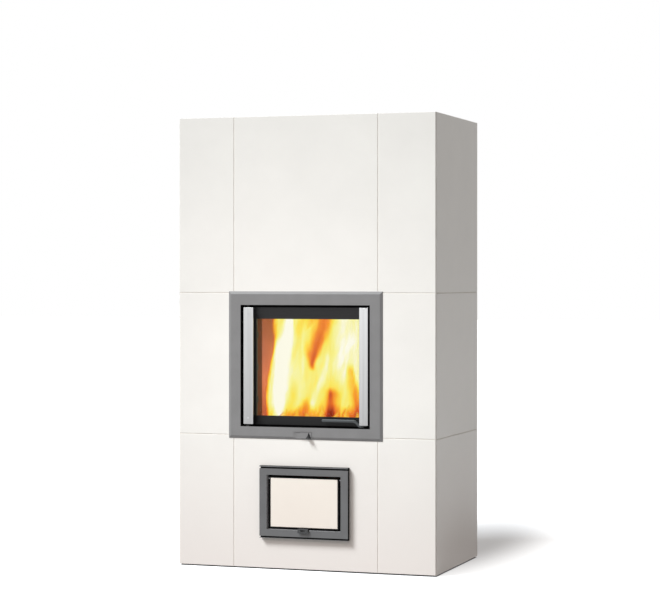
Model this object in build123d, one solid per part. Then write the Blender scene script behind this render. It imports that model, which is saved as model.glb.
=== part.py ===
from build123d import *
import math
import os

# A ceramic-clad heat-storing stove. Millimetres, +Z up, X to the right, the front at -Y.
# The origin is the centre of the footprint, on the floor.

# The clad body
HEIGHT = 1435.0
PLATE = 4.0  # steel base plate that everything stands on
PLATE_SETBACK = 6.0  # shadow line under the tiles
TILE = 35.0
JOINT = 2.0  # width of the mortar joints
JOINT_SETBACK = 1.2  # mortar lies this far behind the glaze
JOINT_DEPTH = 30.0
MITRE_JOINT = 0.6  # adhesive in the mitred front corners
CORNER_BEVEL = 3.0  # bevel on the front corners, measured across one face
ARRIS = 1.0  # rounding along the tiles' front edges
CORNER_ARRIS = 0.9  # the same on the mitred tiles
LOWER_SEAM = 423.5  # centre of the lower bed joint
UPPER_SEAM = 875.5  # centre of the upper bed joint
CENTRE_COLUMN = 481.0  # between the centres of the two upright joints
COVER = 35.0  # cover slab, let in between the tile tops
COVER_PLAY = 1.5
INSULATION = 55.0

# The storage core, from the firebox outwards
FIREBOX_WIDTH = 400.0
FIREBOX_DEPTH = 265.0
FIREBRICK = 50.0
JAMB_DEPTH = 40.0
CHANNEL = 95.0  # width of each down channel
SIDE_WALL = 45.0
FRONT_WALL = 40.0
REAR_WALL = 40.0
TILE_GAP = 5.0  # expansion gap behind the tiles
BASE_SLAB_TOP = 60.0
CORE_COURSES = 3
CORE_TOP_SLAB = 55.0
HEARTH_STEP = 4.0  # hearth over the lower edge of the fire door's opening
HEARTH_BRICK = 55.0
FIREBOX_HEIGHT = 445.0
BAFFLE = 30.0
BAFFLE_FRONT = 90.0  # flue gap in front of the baffle
OVERFLOW = 80.0  # gap over the inner walls, where the gas turns down
ASH_CHAMBER_DEPTH = 265.0
ASH_REAR_BRICK = 45.0
ASH_CHAMBER_PLAY = 2.0  # beside the ash door's opening
ASH_FLOOR_PLAY = 1.0

# The grate
GRATE_WIDTH = 180.0
GRATE_DEPTH = 150.0
GRATE_THICK = 25.0
GRATE_SLOT = 8.0
GRATE_SLOTS = 7
GRATE_LEDGE = 12.0
GRATE_PLAY = 1.0
GRATE_CENTRE = -30.0  # its place in depth

# The flue sleeve at the back
FLUE_BORE = 75.0  # radius
FLUE_WALL = 3.0
FLUE_Z = 200.0
FLUE_PLAY = 0.5

# The fire door's frame
FRAME_LAP = 16.5  # over the joints at its sides
FRAME_LAP_BELOW = 10.5  # under the lower bed joint's centre
FRAME_LAP_ABOVE = 4.5  # over the upper bed joint's centre
FRAME_PROUD = 5.0
FRAME_BEVEL = 8.5  # width of the bevel on the frame's front
FRAME_BEVEL_DEPTH = 4.0
FRAME_BAR = 41.0
FRAME_BAR_BELOW = 38.0
FRAME_BAR_ABOVE = 43.0
COLLAR = 6.0
COLLAR_DEPTH = 55.0  # from the tile face to the collar's back
STOP_LIP = 8.0  # thickness of the lip that the rope seal meets
STOP_LIP_WIDE = 36.0
STOP_LIP_BELOW = 24.0
STOP_LIP_ABOVE = 25.0

# The fire door
LEAF_GAP = 10.0  # between the leaf's plate and the frame, at the sides
LEAF_GAP_BELOW = 5.2
LEAF_GAP_ABOVE = 8.0
STRIP_GAP = 8.0  # between the steel strips and the frame
LEAF_RECESS = 23.0  # the plate's front lies this far behind the tile face
LEAF_PLATE = 16.0
STILE_WIDTH = 26.0
LEFT_STRIP = 33.0  # width
RIGHT_STRIP = 28.5  # width
STRIP_THICK = 3.0
STRIP_PROUD = 0.5  # the strips' front, in front of the tile face
STRIP_EDGE = 1.0
LEFT_STRIP_LIFT = 1.8  # a strip ends this far over the leaf's bottom edge
RIGHT_STRIP_LIFT = 4.8
GLASS_SIDE = 34.0  # from the leaf's edge to the glass opening
GLASS_BELOW = 28.3
GLASS_ABOVE = 36.7
TOP_BAND = 12.0  # set-back band under the top rail
TOP_BAND_RECESS = 5.0
REBATE = 8.0  # depth of the glass rebate
GLASS = 4.0
GLASS_LAP = 5.0
GLASS_PLAY = 1.5
GASKET = 2.0
CLIP_HEIGHT = 20.0
CLIP_REACH = 7.0  # how far a clip laps over its side of the rebate
CLIP_THICK = 2.0
CLIPS = 3  # on each side of the glass
SCREW = 2.0  # radius
SCREW_HEAD = 3.0  # radius
SCREW_HEAD_HIGH = 2.5
STRIP_SCREW_HEAD = 1.0  # how far the strip screws stand out
SCREW_LONG = 9.0
SCREW_TIP_PLAY = 1.0
SCREW_PLAY = 0.1
STRIP_SCREW_INSET = 22.0  # from a strip's end to its screw
SEAL_WIDTH = 7.0
SEAL_INSET = 13.0  # from the leaf's side edges
SEAL_MARGIN = 5.0  # between the seal and the leaf's top and bottom edges
SEAT_PLAY = 0.3

# The fire door's hinge
HINGE_INSET = 10.0  # axis inside the leaf's left edge
HINGE_BACK = 9.0  # axis behind the tile face
HINGE_PIN = 4.0  # radius
HINGE_PLAY = 0.05
HINGE_BORE = 20.0  # depth in the leaf
HINGE_TIP_PLAY = 2.0
HINGE_SHOULDER = 7.0  # radius of the lower pin's shoulder

# The door handle and its latch
SPINDLE_INSET = 7.0  # inside the leaf's right edge
SPINDLE_LIFT = 9.8  # over the leaf's bottom edge
SPINDLE = 4.0  # radius
SPINDLE_PLAY = 0.1
HANDLE_HUB = 7.0  # radius
HANDLE_THICK = 8.0
HANDLE_WIDE = 8.0
HANDLE_STANDOFF = 9.0  # gap between the lever and the leaf's plate
HANDLE_LONG = 142.0  # from the spindle to the tip's centre
HANDLE_BAR_LIFT = 17.8  # the bar's centre line over the leaf's bottom edge
HANDLE_BEND = 47.0  # from the spindle to where the straight bar starts to dip
HANDLE_DIP = 19.0  # from the spindle to the lowest point
HANDLE_DIP_LIFT = 2.3  # that point over the leaf's bottom edge
HANDLE_ROOT_DROP = 2.0  # the bar's start under the spindle's centre
STILE_POCKET = 46.8  # room over the leaf's bottom edge for the hub, in the right stile
FINGER = 14.0  # length from the spindle's centre
FINGER_THICK = 3.5
FINGER_WIDE = 7.0
FINGER_HUB = 5.5
FINGER_ANGLE = 45.0
NUT_THICK = 3.0
KEEPER_THICK = 8.0
KEEPER_DEPTH = 12.0
KEEPER_LIFT = 16.0  # over the spindle's centre
KEEPER_HIGH = 20.0
KEEPER_RAMP = 4.0

# The air control
AIR_STEM_X = 14.0
AIR_RECESS_LIFT = 2.5  # over the frame's bottom edge
AIR_RECESS_HIGH = 22.0
AIR_RECESS = 2.2
AIR_RECESS_RAMP = 12.0  # length of the slope at the recess's left end
AIR_STEM_WIDE = 8.0
AIR_STEM_HIGH = 7.0
AIR_STEM_LIFT = 19.0  # over the frame's bottom edge
AIR_TRAVEL = 11.0
AIR_FOOT_LEFT = 29.0  # from the stem's centre to the foot's left end
AIR_FOOT_RIGHT = 9.5
AIR_FOOT_PLAY = 1.5
AIR_FOOT = 1.8
AIR_FIN = 11.5  # how far the fin stands out of the frame
AIR_FIN_WIDE = 16.0
AIR_TIP_WIDE = 14.0
AIR_TIP_HIGH = 8.0
AIR_PLATE_LONG = 120.0
AIR_PLATE = 3.0
AIR_PLAY = 0.4
AIR_RAIL = 1.8
AIR_RAIL_DEPTH = 7.0
AIR_WINDOW = 22.0
AIR_WINDOW_MARGIN = 5.0

# The ash door's frame
ASH_FRAME_WIDTH = 295.0
ASH_FRAME_BOTTOM = 101.0
ASH_FRAME_TOP = 329.0
ASH_FRAME_PROUD = 16.0
ASH_BAR = 24.0
ASH_BAR_BELOW = 27.5
ASH_BAR_ABOVE = 28.5
ASH_GROOVE_INSET = 3.5  # of the groove across the upper bar
ASH_GROOVE = 5.0
ASH_LOWER_INSET = 1.2  # of the groove across the lower bar
ASH_LOWER_GROOVE = 4.8
ASH_GROOVE_DEPTH = 11.0
ASH_COLLAR = 5.0
ASH_TILE_HOLE_PLAY = 4.0
ASH_LIP = 15.0  # width of the upright lips that the flap rests on
ASH_LIP_THICK = 6.0
ASH_LIP_SHORT = 31.0  # the lips end this far under the top of the opening

# The ash door flap
ASH_TILE_SIDE = 12.0  # from the opening's edge to the glazed insert
ASH_TILE_BELOW = 8.0
ASH_TILE_ABOVE = 10.0
ASH_TILE_THICK = 12.0
ASH_TILE_PROUD = 10.5  # its front, in front of the stove's tile face
ASH_TILE_PLAY = 0.3
TRAY_RIM = 3.2
TRAY_RIM_BACK = 2.0  # the rim's edge lies this far behind the insert's front
TRAY_BACK = 2.0
ASH_HINGE_DROP = 12.0  # axis under the top of the opening
ASH_HINGE_FORE = 0.5  # axis in front of the stove's tile face
ASH_PIN = 2.5  # radius
ASH_PIN_PLAY = 0.2
ASH_PIN_WALL = 1.0  # left in the collar outside a pin's hole
ASH_SEAL = 1.8
ASH_SEAL_WIDE = 6.0
ASH_SEAL_INSET = 1.0
PULL_WIDE = 35.0
PULL_DROP = 8.5  # under the lower edge of the opening
PULL_RISE = 1.5  # over the tray's bottom edge
PULL_PLATE = 3.0
PULL_ROUNDING = 3.0
PULL_LEG = 30.0  # width of the leg under the flap
PULL_LEG_THICK = 3.0
PULL_RIM = 4.5  # over the slot
PULL_SLOT_WIDE = 15.0
PULL_SLOT_HIGH = 5.0
PULL_CLEAR = 4.0  # in front of the ash door's frame

# The ash pan
PAN_SIDE_PLAY = 17.0  # from the opening's edge to the pan
PAN_LONG = 250.0
PAN_HIGH = 48.0
PAN_WALL = 2.0
PAN_FRONT_GAP = 13.0  # behind the flap
PAN_LIP = 8.0

# Fixings behind the tiles
ANCHOR_THICK = 3.0
ANCHOR_HIGH = 26.0
ANCHOR_LONG = 62.0
ANCHOR_INSET = 60.0  # from a frame collar's end to the middle of its anchor
ASH_ANCHOR_INSET = 40.0
CLIP_PLATE_WIDE = 60.0
CLIP_PLATE_HIGH = 30.0
CLIP_PLATE = 2.0
CLIP_PLATE_INSET = 50.0
LINTEL_BAR_LAP = 50.0
LINTEL_BAR_SETBACK = 10.0

OVERCUT = 1.0  # how far a cutting body runs past the faces it cuts

# Sizes that follow from the ones above
WIDTH = FIREBOX_WIDTH + 2 * (FIREBRICK + CHANNEL + SIDE_WALL + TILE_GAP + TILE)
DEPTH = COLLAR_DEPTH + JAMB_DEPTH + FIREBOX_DEPTH + FIREBRICK + REAR_WALL + TILE_GAP + TILE
FRAME_WIDTH = CENTRE_COLUMN + 2 * FRAME_LAP
FRAME_BOTTOM = LOWER_SEAM - FRAME_LAP_BELOW
FRAME_TOP = UPPER_SEAM + FRAME_LAP_ABOVE
FIRE_OPENING = FRAME_WIDTH - 2 * FRAME_BAR
FIRE_OPENING_BOTTOM = FRAME_BOTTOM + FRAME_BAR_BELOW
FIRE_OPENING_TOP = FRAME_TOP - FRAME_BAR_ABOVE
THROAT_WIDTH = FIRE_OPENING - 2 * STOP_LIP_WIDE
THROAT_TOP = FIRE_OPENING_TOP - STOP_LIP_ABOVE
STOP_LIP_BOTTOM = FIRE_OPENING_BOTTOM + STOP_LIP_BELOW
HEARTH_TOP = FIRE_OPENING_BOTTOM + HEARTH_STEP
FIREBOX_TOP = HEARTH_TOP + FIREBOX_HEIGHT
LEAF_BOTTOM = FIRE_OPENING_BOTTOM + LEAF_GAP_BELOW
LEAF_TOP = FIRE_OPENING_TOP - LEAF_GAP_ABOVE
LEAF_X = FIRE_OPENING / 2 - LEAF_GAP
STRIPS = {
    "left": (-1, LEFT_STRIP, LEAF_BOTTOM + LEFT_STRIP_LIFT),
    "right": (1, RIGHT_STRIP, LEAF_BOTTOM + RIGHT_STRIP_LIFT),
}
GLASS_OPENING = 2 * (LEAF_X - GLASS_SIDE)
GLASS_OPENING_BOTTOM = LEAF_BOTTOM + GLASS_BELOW
GLASS_OPENING_TOP = LEAF_TOP - GLASS_ABOVE
SEAL_OUTSIDE = LEAF_X - SEAL_INSET
HINGE_X = HINGE_INSET - LEAF_X
SPINDLE_X = LEAF_X - SPINDLE_INSET
SPINDLE_Z = LEAF_BOTTOM + SPINDLE_LIFT
HANDLE_TIP_X = SPINDLE_X - HANDLE_LONG
HANDLE_BEND_X = SPINDLE_X - HANDLE_BEND
HANDLE_DIP_X = SPINDLE_X - HANDLE_DIP
HANDLE_BAR_Z = LEAF_BOTTOM + HANDLE_BAR_LIFT
HANDLE_DIP_Z = LEAF_BOTTOM + HANDLE_DIP_LIFT
KEEPER_Z = SPINDLE_Z + KEEPER_LIFT
AIR_FOOT_X0 = AIR_STEM_X - AIR_FOOT_LEFT
AIR_FOOT_X1 = AIR_STEM_X + AIR_FOOT_RIGHT
AIR_RECESS_LEFT = AIR_FOOT_X0 - AIR_TRAVEL - AIR_FOOT_PLAY
AIR_RECESS_RIGHT = AIR_FOOT_X1 + AIR_FOOT_PLAY
AIR_RECESS_BOTTOM = FRAME_BOTTOM + AIR_RECESS_LIFT
AIR_RECESS_TOP = AIR_RECESS_BOTTOM + AIR_RECESS_HIGH
AIR_STEM_Z = FRAME_BOTTOM + AIR_STEM_LIFT
ASH_OPENING = ASH_FRAME_WIDTH - 2 * ASH_BAR
ASH_OPENING_BOTTOM = ASH_FRAME_BOTTOM + ASH_BAR_BELOW
ASH_OPENING_TOP = ASH_FRAME_TOP - ASH_BAR_ABOVE
ASH_CHAMBER_WIDTH = ASH_OPENING + 2 * ASH_CHAMBER_PLAY
ASH_LIP_TOP = ASH_OPENING_TOP - ASH_LIP_SHORT
ASH_TILE_WIDTH = ASH_OPENING - 2 * ASH_TILE_SIDE
ASH_TILE_BOTTOM = ASH_OPENING_BOTTOM + ASH_TILE_BELOW
ASH_TILE_TOP = ASH_OPENING_TOP - ASH_TILE_ABOVE
ASH_HINGE_Z = ASH_OPENING_TOP - ASH_HINGE_DROP
PULL_BOTTOM = ASH_OPENING_BOTTOM - PULL_DROP
PAN_WIDTH = ASH_OPENING - 2 * PAN_SIDE_PLAY

# Planes worked out from those sizes
FRONT = -DEPTH / 2
BACK = DEPTH / 2
SIDE = WIDTH / 2
TILE_BACK = FRONT + TILE
COLUMN = CENTRE_COLUMN / 2
LOWER_TOP = LOWER_SEAM - JOINT / 2
MIDDLE_BOTTOM = LOWER_SEAM + JOINT / 2
MIDDLE_TOP = UPPER_SEAM - JOINT / 2
UPPER_BOTTOM = UPPER_SEAM + JOINT / 2
COURSES = {
    "lower": (PLATE, LOWER_TOP),
    "middle": (MIDDLE_BOTTOM, MIDDLE_TOP),
    "upper": (UPPER_BOTTOM, HEIGHT),
}
CORE_X = SIDE - TILE - TILE_GAP
CORE_FRONT = TILE_BACK + TILE_GAP
CORE_BACK = BACK - TILE - TILE_GAP
COVER_BOTTOM = HEIGHT - COVER
CORE_TOP = COVER_BOTTOM - INSULATION
CHANNEL_TOP = CORE_TOP - CORE_TOP_SLAB
CHANNEL_OUTSIDE = CORE_X - SIDE_WALL
CHANNEL_INSIDE = FIREBOX_WIDTH / 2 + FIREBRICK
CHANNEL_BACK = CORE_BACK - REAR_WALL
FIREBOX_BACK = CHANNEL_BACK - FIREBRICK
COLLAR_BACK = FRONT + COLLAR_DEPTH
FIREBOX_FRONT = COLLAR_BACK + JAMB_DEPTH
HEARTH_BOTTOM = HEARTH_TOP - HEARTH_BRICK
LEAF_FRONT = FRONT + LEAF_RECESS
LEAF_BACK = LEAF_FRONT + LEAF_PLATE
STRIP_OUTSIDE = FIRE_OPENING / 2 - STRIP_GAP
STRIP_BACK = FRONT - STRIP_PROUD + STRIP_THICK
GLASS_X = GLASS_OPENING / 2 + GLASS_LAP
REBATE_X = GLASS_X + GLASS_PLAY
REBATE_FRONT = LEAF_BACK - REBATE
GLASS_BOTTOM = GLASS_OPENING_BOTTOM - GLASS_LAP
BAND_TOP = GLASS_OPENING_TOP + TOP_BAND
GLASS_TOP = BAND_TOP + GLASS_LAP
GLASS_FRONT = REBATE_FRONT + GASKET
GLASS_BACK = GLASS_FRONT + GLASS
HINGE_Y = FRONT + HINGE_BACK
LIP_FRONT = COLLAR_BACK - STOP_LIP
ASH_TILE_FRONT = FRONT - ASH_TILE_PROUD
TRAY_FRONT = ASH_TILE_FRONT + ASH_TILE_THICK
TRAY_REAR = TRAY_FRONT + TRAY_BACK
TRAY_X = ASH_TILE_WIDTH / 2 + ASH_TILE_PLAY
TRAY_BOTTOM = ASH_TILE_BOTTOM - ASH_TILE_PLAY - TRAY_RIM
PULL_TOP = TRAY_BOTTOM + PULL_RISE
ASH_HINGE_Y = FRONT - ASH_HINGE_FORE
ASH_FLOOR = ASH_OPENING_BOTTOM + ASH_FLOOR_PLAY
ASH_CHAMBER_BACK = CORE_FRONT + ASH_CHAMBER_DEPTH
ASH_COLLAR_X = ASH_OPENING / 2 + ASH_COLLAR
ASH_COLLAR_BOTTOM = ASH_OPENING_BOTTOM - ASH_COLLAR
ASH_COLLAR_TOP = ASH_OPENING_TOP + ASH_COLLAR

os.makedirs("parts", exist_ok=True)


def block(x0, x1, y0, y1, z0, z1):
    """A box between two corners, in any order."""
    middle = Pos((x0 + x1) / 2, (y0 + y1) / 2, (z0 + z1) / 2)
    return middle * Box(abs(x1 - x0), abs(y1 - y0), abs(z1 - z0))


def rod_x(x0, x1, y, z, radius):
    """A round bar along X."""
    return Pos((x0 + x1) / 2, y, z) * Rot(0, 90, 0) * Cylinder(radius, abs(x1 - x0))


def rod_y(x, y0, y1, z, radius):
    """A round bar along Y."""
    return Pos(x, (y0 + y1) / 2, z) * Rot(90, 0, 0) * Cylinder(radius, abs(y1 - y0))


def rod_z(x, y, z0, z1, radius):
    """A round bar along Z."""
    return Pos(x, y, (z0 + z1) / 2) * Cylinder(radius, abs(z1 - z0))


def window(half, y0, y1, z0, z1):
    """A box that is centred in X, to cut an opening or to build a ring."""
    return block(-half, half, y0, y1, z0, z1)


def prism_z(points, z0, z1):
    """A straight body along Z from corners given as X and Y."""
    face = make_face(Polyline([(x, y, z0) for x, y in points], close=True))
    return extrude(face, amount=z1 - z0, dir=(0, 0, 1))


def save(name, *pieces):
    """Write one node: one piece, or a group of separate pieces."""
    solids = [solid for piece in pieces for solid in piece.solids()]
    shape = solids[0] if len(solids) == 1 else Compound(solids)
    export_step(shape, f"parts/{name}.step")


def ease(tile, axis, place, depth):
    """Round the edges of a tile's glazed face, which lies square to the axis at the given place."""
    face = tile.faces().filter_by(axis).sort_by(lambda f: abs(f.center().dot(axis.direction) - place))[0]
    return fillet(face.edges(), depth)


def front_tile(x0, x1, z0, z1):
    """A front tile with rounded front edges."""
    return ease(block(x0, x1, FRONT, TILE_BACK, z0, z1), Axis.Y, FRONT, ARRIS)


def mitre_points(side):
    """Corners of the front tile beside a stove corner, and of the side tile, which share a mitre."""
    x = side * SIDE
    slip = side * MITRE_JOINT / 2
    bevel = side * CORNER_BEVEL
    half = CORNER_BEVEL / 2
    front = [
        (x - bevel, FRONT),
        (x - bevel / 2 - slip, FRONT + half),
        (x - side * TILE - slip, TILE_BACK),
        (side * (COLUMN + JOINT / 2), TILE_BACK),
        (side * (COLUMN + JOINT / 2), FRONT),
    ]
    flank = [
        (x, FRONT + CORNER_BEVEL),
        (x - bevel / 2, FRONT + half + MITRE_JOINT / 2),
        (x - side * TILE, TILE_BACK + MITRE_JOINT / 2),
        (x - side * TILE, BACK),
        (x, BACK),
    ]
    return front, flank


def tiles():
    """The glazed shell: front tiles in three courses, mitred to the side tiles, and plain rear slabs."""
    for course, (bottom, top) in COURSES.items():
        for side, word in ((-1, "left"), (1, "right")):
            front, flank = mitre_points(side)
            tile = ease(prism_z(front, bottom, top), Axis.Y, FRONT, CORNER_ARRIS)
            save(f"front_tile_{course}_{word}", tile)
            tile = ease(prism_z(flank, bottom, top), Axis.X, side * SIDE, CORNER_ARRIS)
            save(f"side_tile_{course}_{word}", tile)
    inner = COLUMN - JOINT / 2
    save("front_tile_upper_centre", front_tile(-inner, inner, UPPER_BOTTOM, HEIGHT))
    hole = window(
        ASH_COLLAR_X + ASH_TILE_HOLE_PLAY,
        FRONT - OVERCUT,
        TILE_BACK + OVERCUT,
        ASH_COLLAR_BOTTOM - ASH_TILE_HOLE_PLAY,
        ASH_COLLAR_TOP + ASH_TILE_HOLE_PLAY,
    )
    save("front_tile_lower_centre", front_tile(-inner, inner, PLATE, LOWER_TOP) - hole)
    rear_x = SIDE - TILE - COVER_PLAY
    slabs = [window(rear_x, BACK - TILE, BACK, bottom, top) for bottom, top in COURSES.values()]
    slabs[0] -= flue_hole()
    save("rear_slabs", *slabs)
    cover_y = BACK - TILE - COVER_PLAY
    save("cover_slab", window(rear_x, -cover_y, cover_y, COVER_BOTTOM, HEIGHT))


def flue_hole():
    """The hole that the flue sleeve goes through."""
    radius = FLUE_BORE + FLUE_WALL + FLUE_PLAY
    return rod_y(0, CHANNEL_BACK - OVERCUT, BACK + OVERCUT, FLUE_Z, radius)


def lintel_bar_box():
    """The flat bar in the upper bed joint that carries the tile over the fire door."""
    half = COLUMN + LINTEL_BAR_LAP
    return window(half, FRONT + LINTEL_BAR_SETBACK, TILE_BACK, MIDDLE_TOP, UPPER_BOTTOM)


def joints():
    """Mortar in the bed joints and the upright joints, and the bar over the fire door."""
    front = FRONT + JOINT_SETBACK
    deep = front + JOINT_DEPTH
    rear = BACK - JOINT_SETBACK
    outside = SIDE - JOINT_SETBACK
    rear_x = SIDE - TILE - COVER_PLAY
    strips = []
    for bottom, top in ((LOWER_TOP, MIDDLE_BOTTOM), (MIDDLE_TOP, UPPER_BOTTOM)):
        for side in (-1, 1):
            strip = block(side * (COLUMN + JOINT / 2), side * outside, front, deep, bottom, top)
            strips.append(strip - lintel_bar_box())
            strips.append(block(side * (outside - JOINT_DEPTH), side * outside, deep, rear, bottom, top))
        strips.append(window(rear_x, rear - JOINT_DEPTH, rear, bottom, top))
    for course in ("lower", "upper"):
        bottom, top = COURSES[course]
        for side in (-1, 1):
            middle = side * COLUMN
            strips.append(block(middle - JOINT / 2, middle + JOINT / 2, front, deep, bottom, top))
    save("tile_joint_mortar", *strips)
    save("lintel_bar", lintel_bar_box())


def fixings():
    """Flat clips behind the upright joints, and straps that hold both door frames behind the tiles."""
    clips = []
    for course in ("lower", "upper"):
        bottom, top = COURSES[course]
        for side in (-1, 1):
            for z in (bottom + CLIP_PLATE_INSET, top - CLIP_PLATE_INSET):
                x = side * COLUMN
                half = CLIP_PLATE_WIDE / 2
                clips.append(
                    block(
                        x - half,
                        x + half,
                        TILE_BACK,
                        TILE_BACK + CLIP_PLATE,
                        z - CLIP_PLATE_HIGH / 2,
                        z + CLIP_PLATE_HIGH / 2,
                    )
                )
    save("tile_clips", *clips)
    anchors = []
    fire = (FIRE_OPENING / 2 + COLLAR, FIRE_OPENING_BOTTOM, FIRE_OPENING_TOP, ANCHOR_INSET)
    ash = (ASH_COLLAR_X, ASH_OPENING_BOTTOM, ASH_OPENING_TOP, ASH_ANCHOR_INSET)
    for x, bottom, top, inset in (fire, ash):
        for side in (-1, 1):
            for z in (bottom + inset, top - inset):
                anchors.append(
                    block(
                        side * x,
                        side * (x + ANCHOR_LONG),
                        TILE_BACK + SEAT_PLAY,
                        TILE_BACK + SEAT_PLAY + ANCHOR_THICK,
                        z - ANCHOR_HIGH / 2,
                        z + ANCHOR_HIGH / 2,
                    )
                )
    save("frame_anchors", *anchors)


def core():
    """The storage core: base, outer walls with the down channels inside them, and the top slab."""
    plate_x = SIDE - PLATE_SETBACK
    plate_y = BACK - PLATE_SETBACK
    save("base_plate", window(plate_x, -plate_y, plate_y, 0, PLATE))
    save("base_slab", window(CORE_X, CORE_FRONT, CORE_BACK, PLATE, BASE_SLAB_TOP))
    step = (CHANNEL_TOP - BASE_SLAB_TOP) / CORE_COURSES
    sides, rears, fronts = [], [], []
    for course in range(CORE_COURSES):
        bottom = BASE_SLAB_TOP + course * step
        top = bottom + step
        rears.append(window(CHANNEL_OUTSIDE, CHANNEL_BACK, CORE_BACK, bottom, top))
        for side in (-1, 1):
            sides.append(block(side * CHANNEL_OUTSIDE, side * CORE_X, CORE_FRONT, CORE_BACK, bottom, top))
            fronts.append(
                block(
                    side * CHANNEL_INSIDE,
                    side * CHANNEL_OUTSIDE,
                    CORE_FRONT,
                    CORE_FRONT + FRONT_WALL,
                    bottom,
                    top,
                )
            )
    rears[0] -= flue_hole()
    save("core_side_walls", *sides)
    save("core_rear_wall", *rears)
    save("channel_front_walls", *fronts)
    save("core_top_slab", window(CORE_X, CORE_FRONT, CORE_BACK, CHANNEL_TOP, CORE_TOP))
    save("top_insulation", window(CORE_X, CORE_FRONT, CORE_BACK, CORE_TOP, COVER_BOTTOM))
    sleeve = rod_y(0, CHANNEL_BACK, BACK, FLUE_Z, FLUE_BORE + FLUE_WALL)
    sleeve -= rod_y(0, CHANNEL_BACK - OVERCUT, BACK + OVERCUT, FLUE_Z, FLUE_BORE)
    save("flue_sleeve", sleeve)


def ash_chamber():
    """Bricks round the ash chamber, with the cross duct to the flue behind them."""
    half = ASH_CHAMBER_WIDTH / 2
    back = ASH_CHAMBER_BACK
    rear = back + ASH_REAR_BRICK
    bricks = [
        block(side * half, side * CHANNEL_INSIDE, CORE_FRONT, back, BASE_SLAB_TOP, HEARTH_BOTTOM)
        for side in (-1, 1)
    ]
    bricks.append(window(CHANNEL_INSIDE, back, rear, BASE_SLAB_TOP, HEARTH_BOTTOM))
    bricks.append(window(half, CORE_FRONT, back, BASE_SLAB_TOP, ASH_FLOOR))
    bricks.append(window(half, CORE_FRONT, CORE_FRONT + FRONT_WALL, ASH_COLLAR_TOP, HEARTH_BOTTOM))
    save("ash_chamber_bricks", *bricks)


def hearth():
    """Hearth bricks with a ledge round the grate, and the cast grate that lies on it."""
    x = GRATE_WIDTH / 2
    y0 = GRATE_CENTRE - GRATE_DEPTH / 2
    y1 = GRATE_CENTRE + GRATE_DEPTH / 2
    ledge_z = HEARTH_TOP - GRATE_THICK
    well = block(-x, x, y0, y1, ledge_z, HEARTH_TOP + OVERCUT)
    shaft = block(
        -x + GRATE_LEDGE,
        x - GRATE_LEDGE,
        y0 + GRATE_LEDGE,
        y1 - GRATE_LEDGE,
        HEARTH_BOTTOM - OVERCUT,
        HEARTH_TOP,
    )
    bricks = [
        window(CHANNEL_INSIDE, COLLAR_BACK, y0 + GRATE_LEDGE, HEARTH_BOTTOM, HEARTH_TOP),
        window(CHANNEL_INSIDE, y1 - GRATE_LEDGE, CHANNEL_BACK, HEARTH_BOTTOM, HEARTH_TOP),
    ]
    for side in (-1, 1):
        bricks.append(
            block(
                side * (x - GRATE_LEDGE),
                side * CHANNEL_INSIDE,
                y0 + GRATE_LEDGE,
                y1 - GRATE_LEDGE,
                HEARTH_BOTTOM,
                HEARTH_TOP,
            )
        )
    save("hearth_bricks", *[brick - well - shaft for brick in bricks])
    grate = block(
        -x + GRATE_PLAY,
        x - GRATE_PLAY,
        y0 + GRATE_PLAY,
        y1 - GRATE_PLAY,
        ledge_z,
        HEARTH_TOP,
    )
    pitch = (GRATE_WIDTH - 2 * GRATE_LEDGE) / GRATE_SLOTS
    for index in range(GRATE_SLOTS):
        middle = -x + GRATE_LEDGE + pitch * (index + 0.5)
        grate -= block(
            middle - GRATE_SLOT / 2,
            middle + GRATE_SLOT / 2,
            y0 + 2 * GRATE_LEDGE,
            y1 - 2 * GRATE_LEDGE,
            ledge_z - OVERCUT,
            HEARTH_TOP + OVERCUT,
        )
    save("grate", grate)


def firebox():
    """The firebox, its baffle, and the upper chamber that spills into the down channels."""
    inside = FIREBOX_WIDTH / 2
    throat = THROAT_WIDTH / 2
    walls = [
        block(side * inside, side * CHANNEL_INSIDE, FIREBOX_FRONT, FIREBOX_BACK, HEARTH_TOP, FIREBOX_TOP)
        for side in (-1, 1)
    ]
    walls.append(window(CHANNEL_INSIDE, FIREBOX_BACK, CHANNEL_BACK, HEARTH_TOP, FIREBOX_TOP))
    save("firebox_walls", *walls)
    jambs = [
        block(side * throat, side * CHANNEL_INSIDE, COLLAR_BACK, FIREBOX_FRONT, HEARTH_TOP, THROAT_TOP)
        for side in (-1, 1)
    ]
    save("firebox_jambs", *jambs)
    save("firebox_lintel", window(CHANNEL_INSIDE, COLLAR_BACK, FIREBOX_FRONT, THROAT_TOP, FIREBOX_TOP))
    baffle_y = FIREBOX_FRONT + BAFFLE_FRONT
    baffle_top = FIREBOX_TOP + BAFFLE
    save("baffle_slab", window(CHANNEL_INSIDE, baffle_y, CHANNEL_BACK, FIREBOX_TOP, baffle_top))
    upper = [
        window(CHANNEL_INSIDE, CORE_FRONT, FIREBOX_FRONT, FIREBOX_TOP, CHANNEL_TOP),
        window(CHANNEL_INSIDE, FIREBOX_BACK, CHANNEL_BACK, baffle_top, CHANNEL_TOP),
    ]
    spill = CHANNEL_TOP - OVERFLOW
    for side in (-1, 1):
        x0 = side * inside
        x1 = side * CHANNEL_INSIDE
        upper.append(block(x0, x1, FIREBOX_FRONT, baffle_y, FIREBOX_TOP, baffle_top))
        upper.append(block(x0, x1, FIREBOX_FRONT, FIREBOX_BACK, baffle_top, spill))
    save("upper_chamber_walls", *upper)


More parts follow.
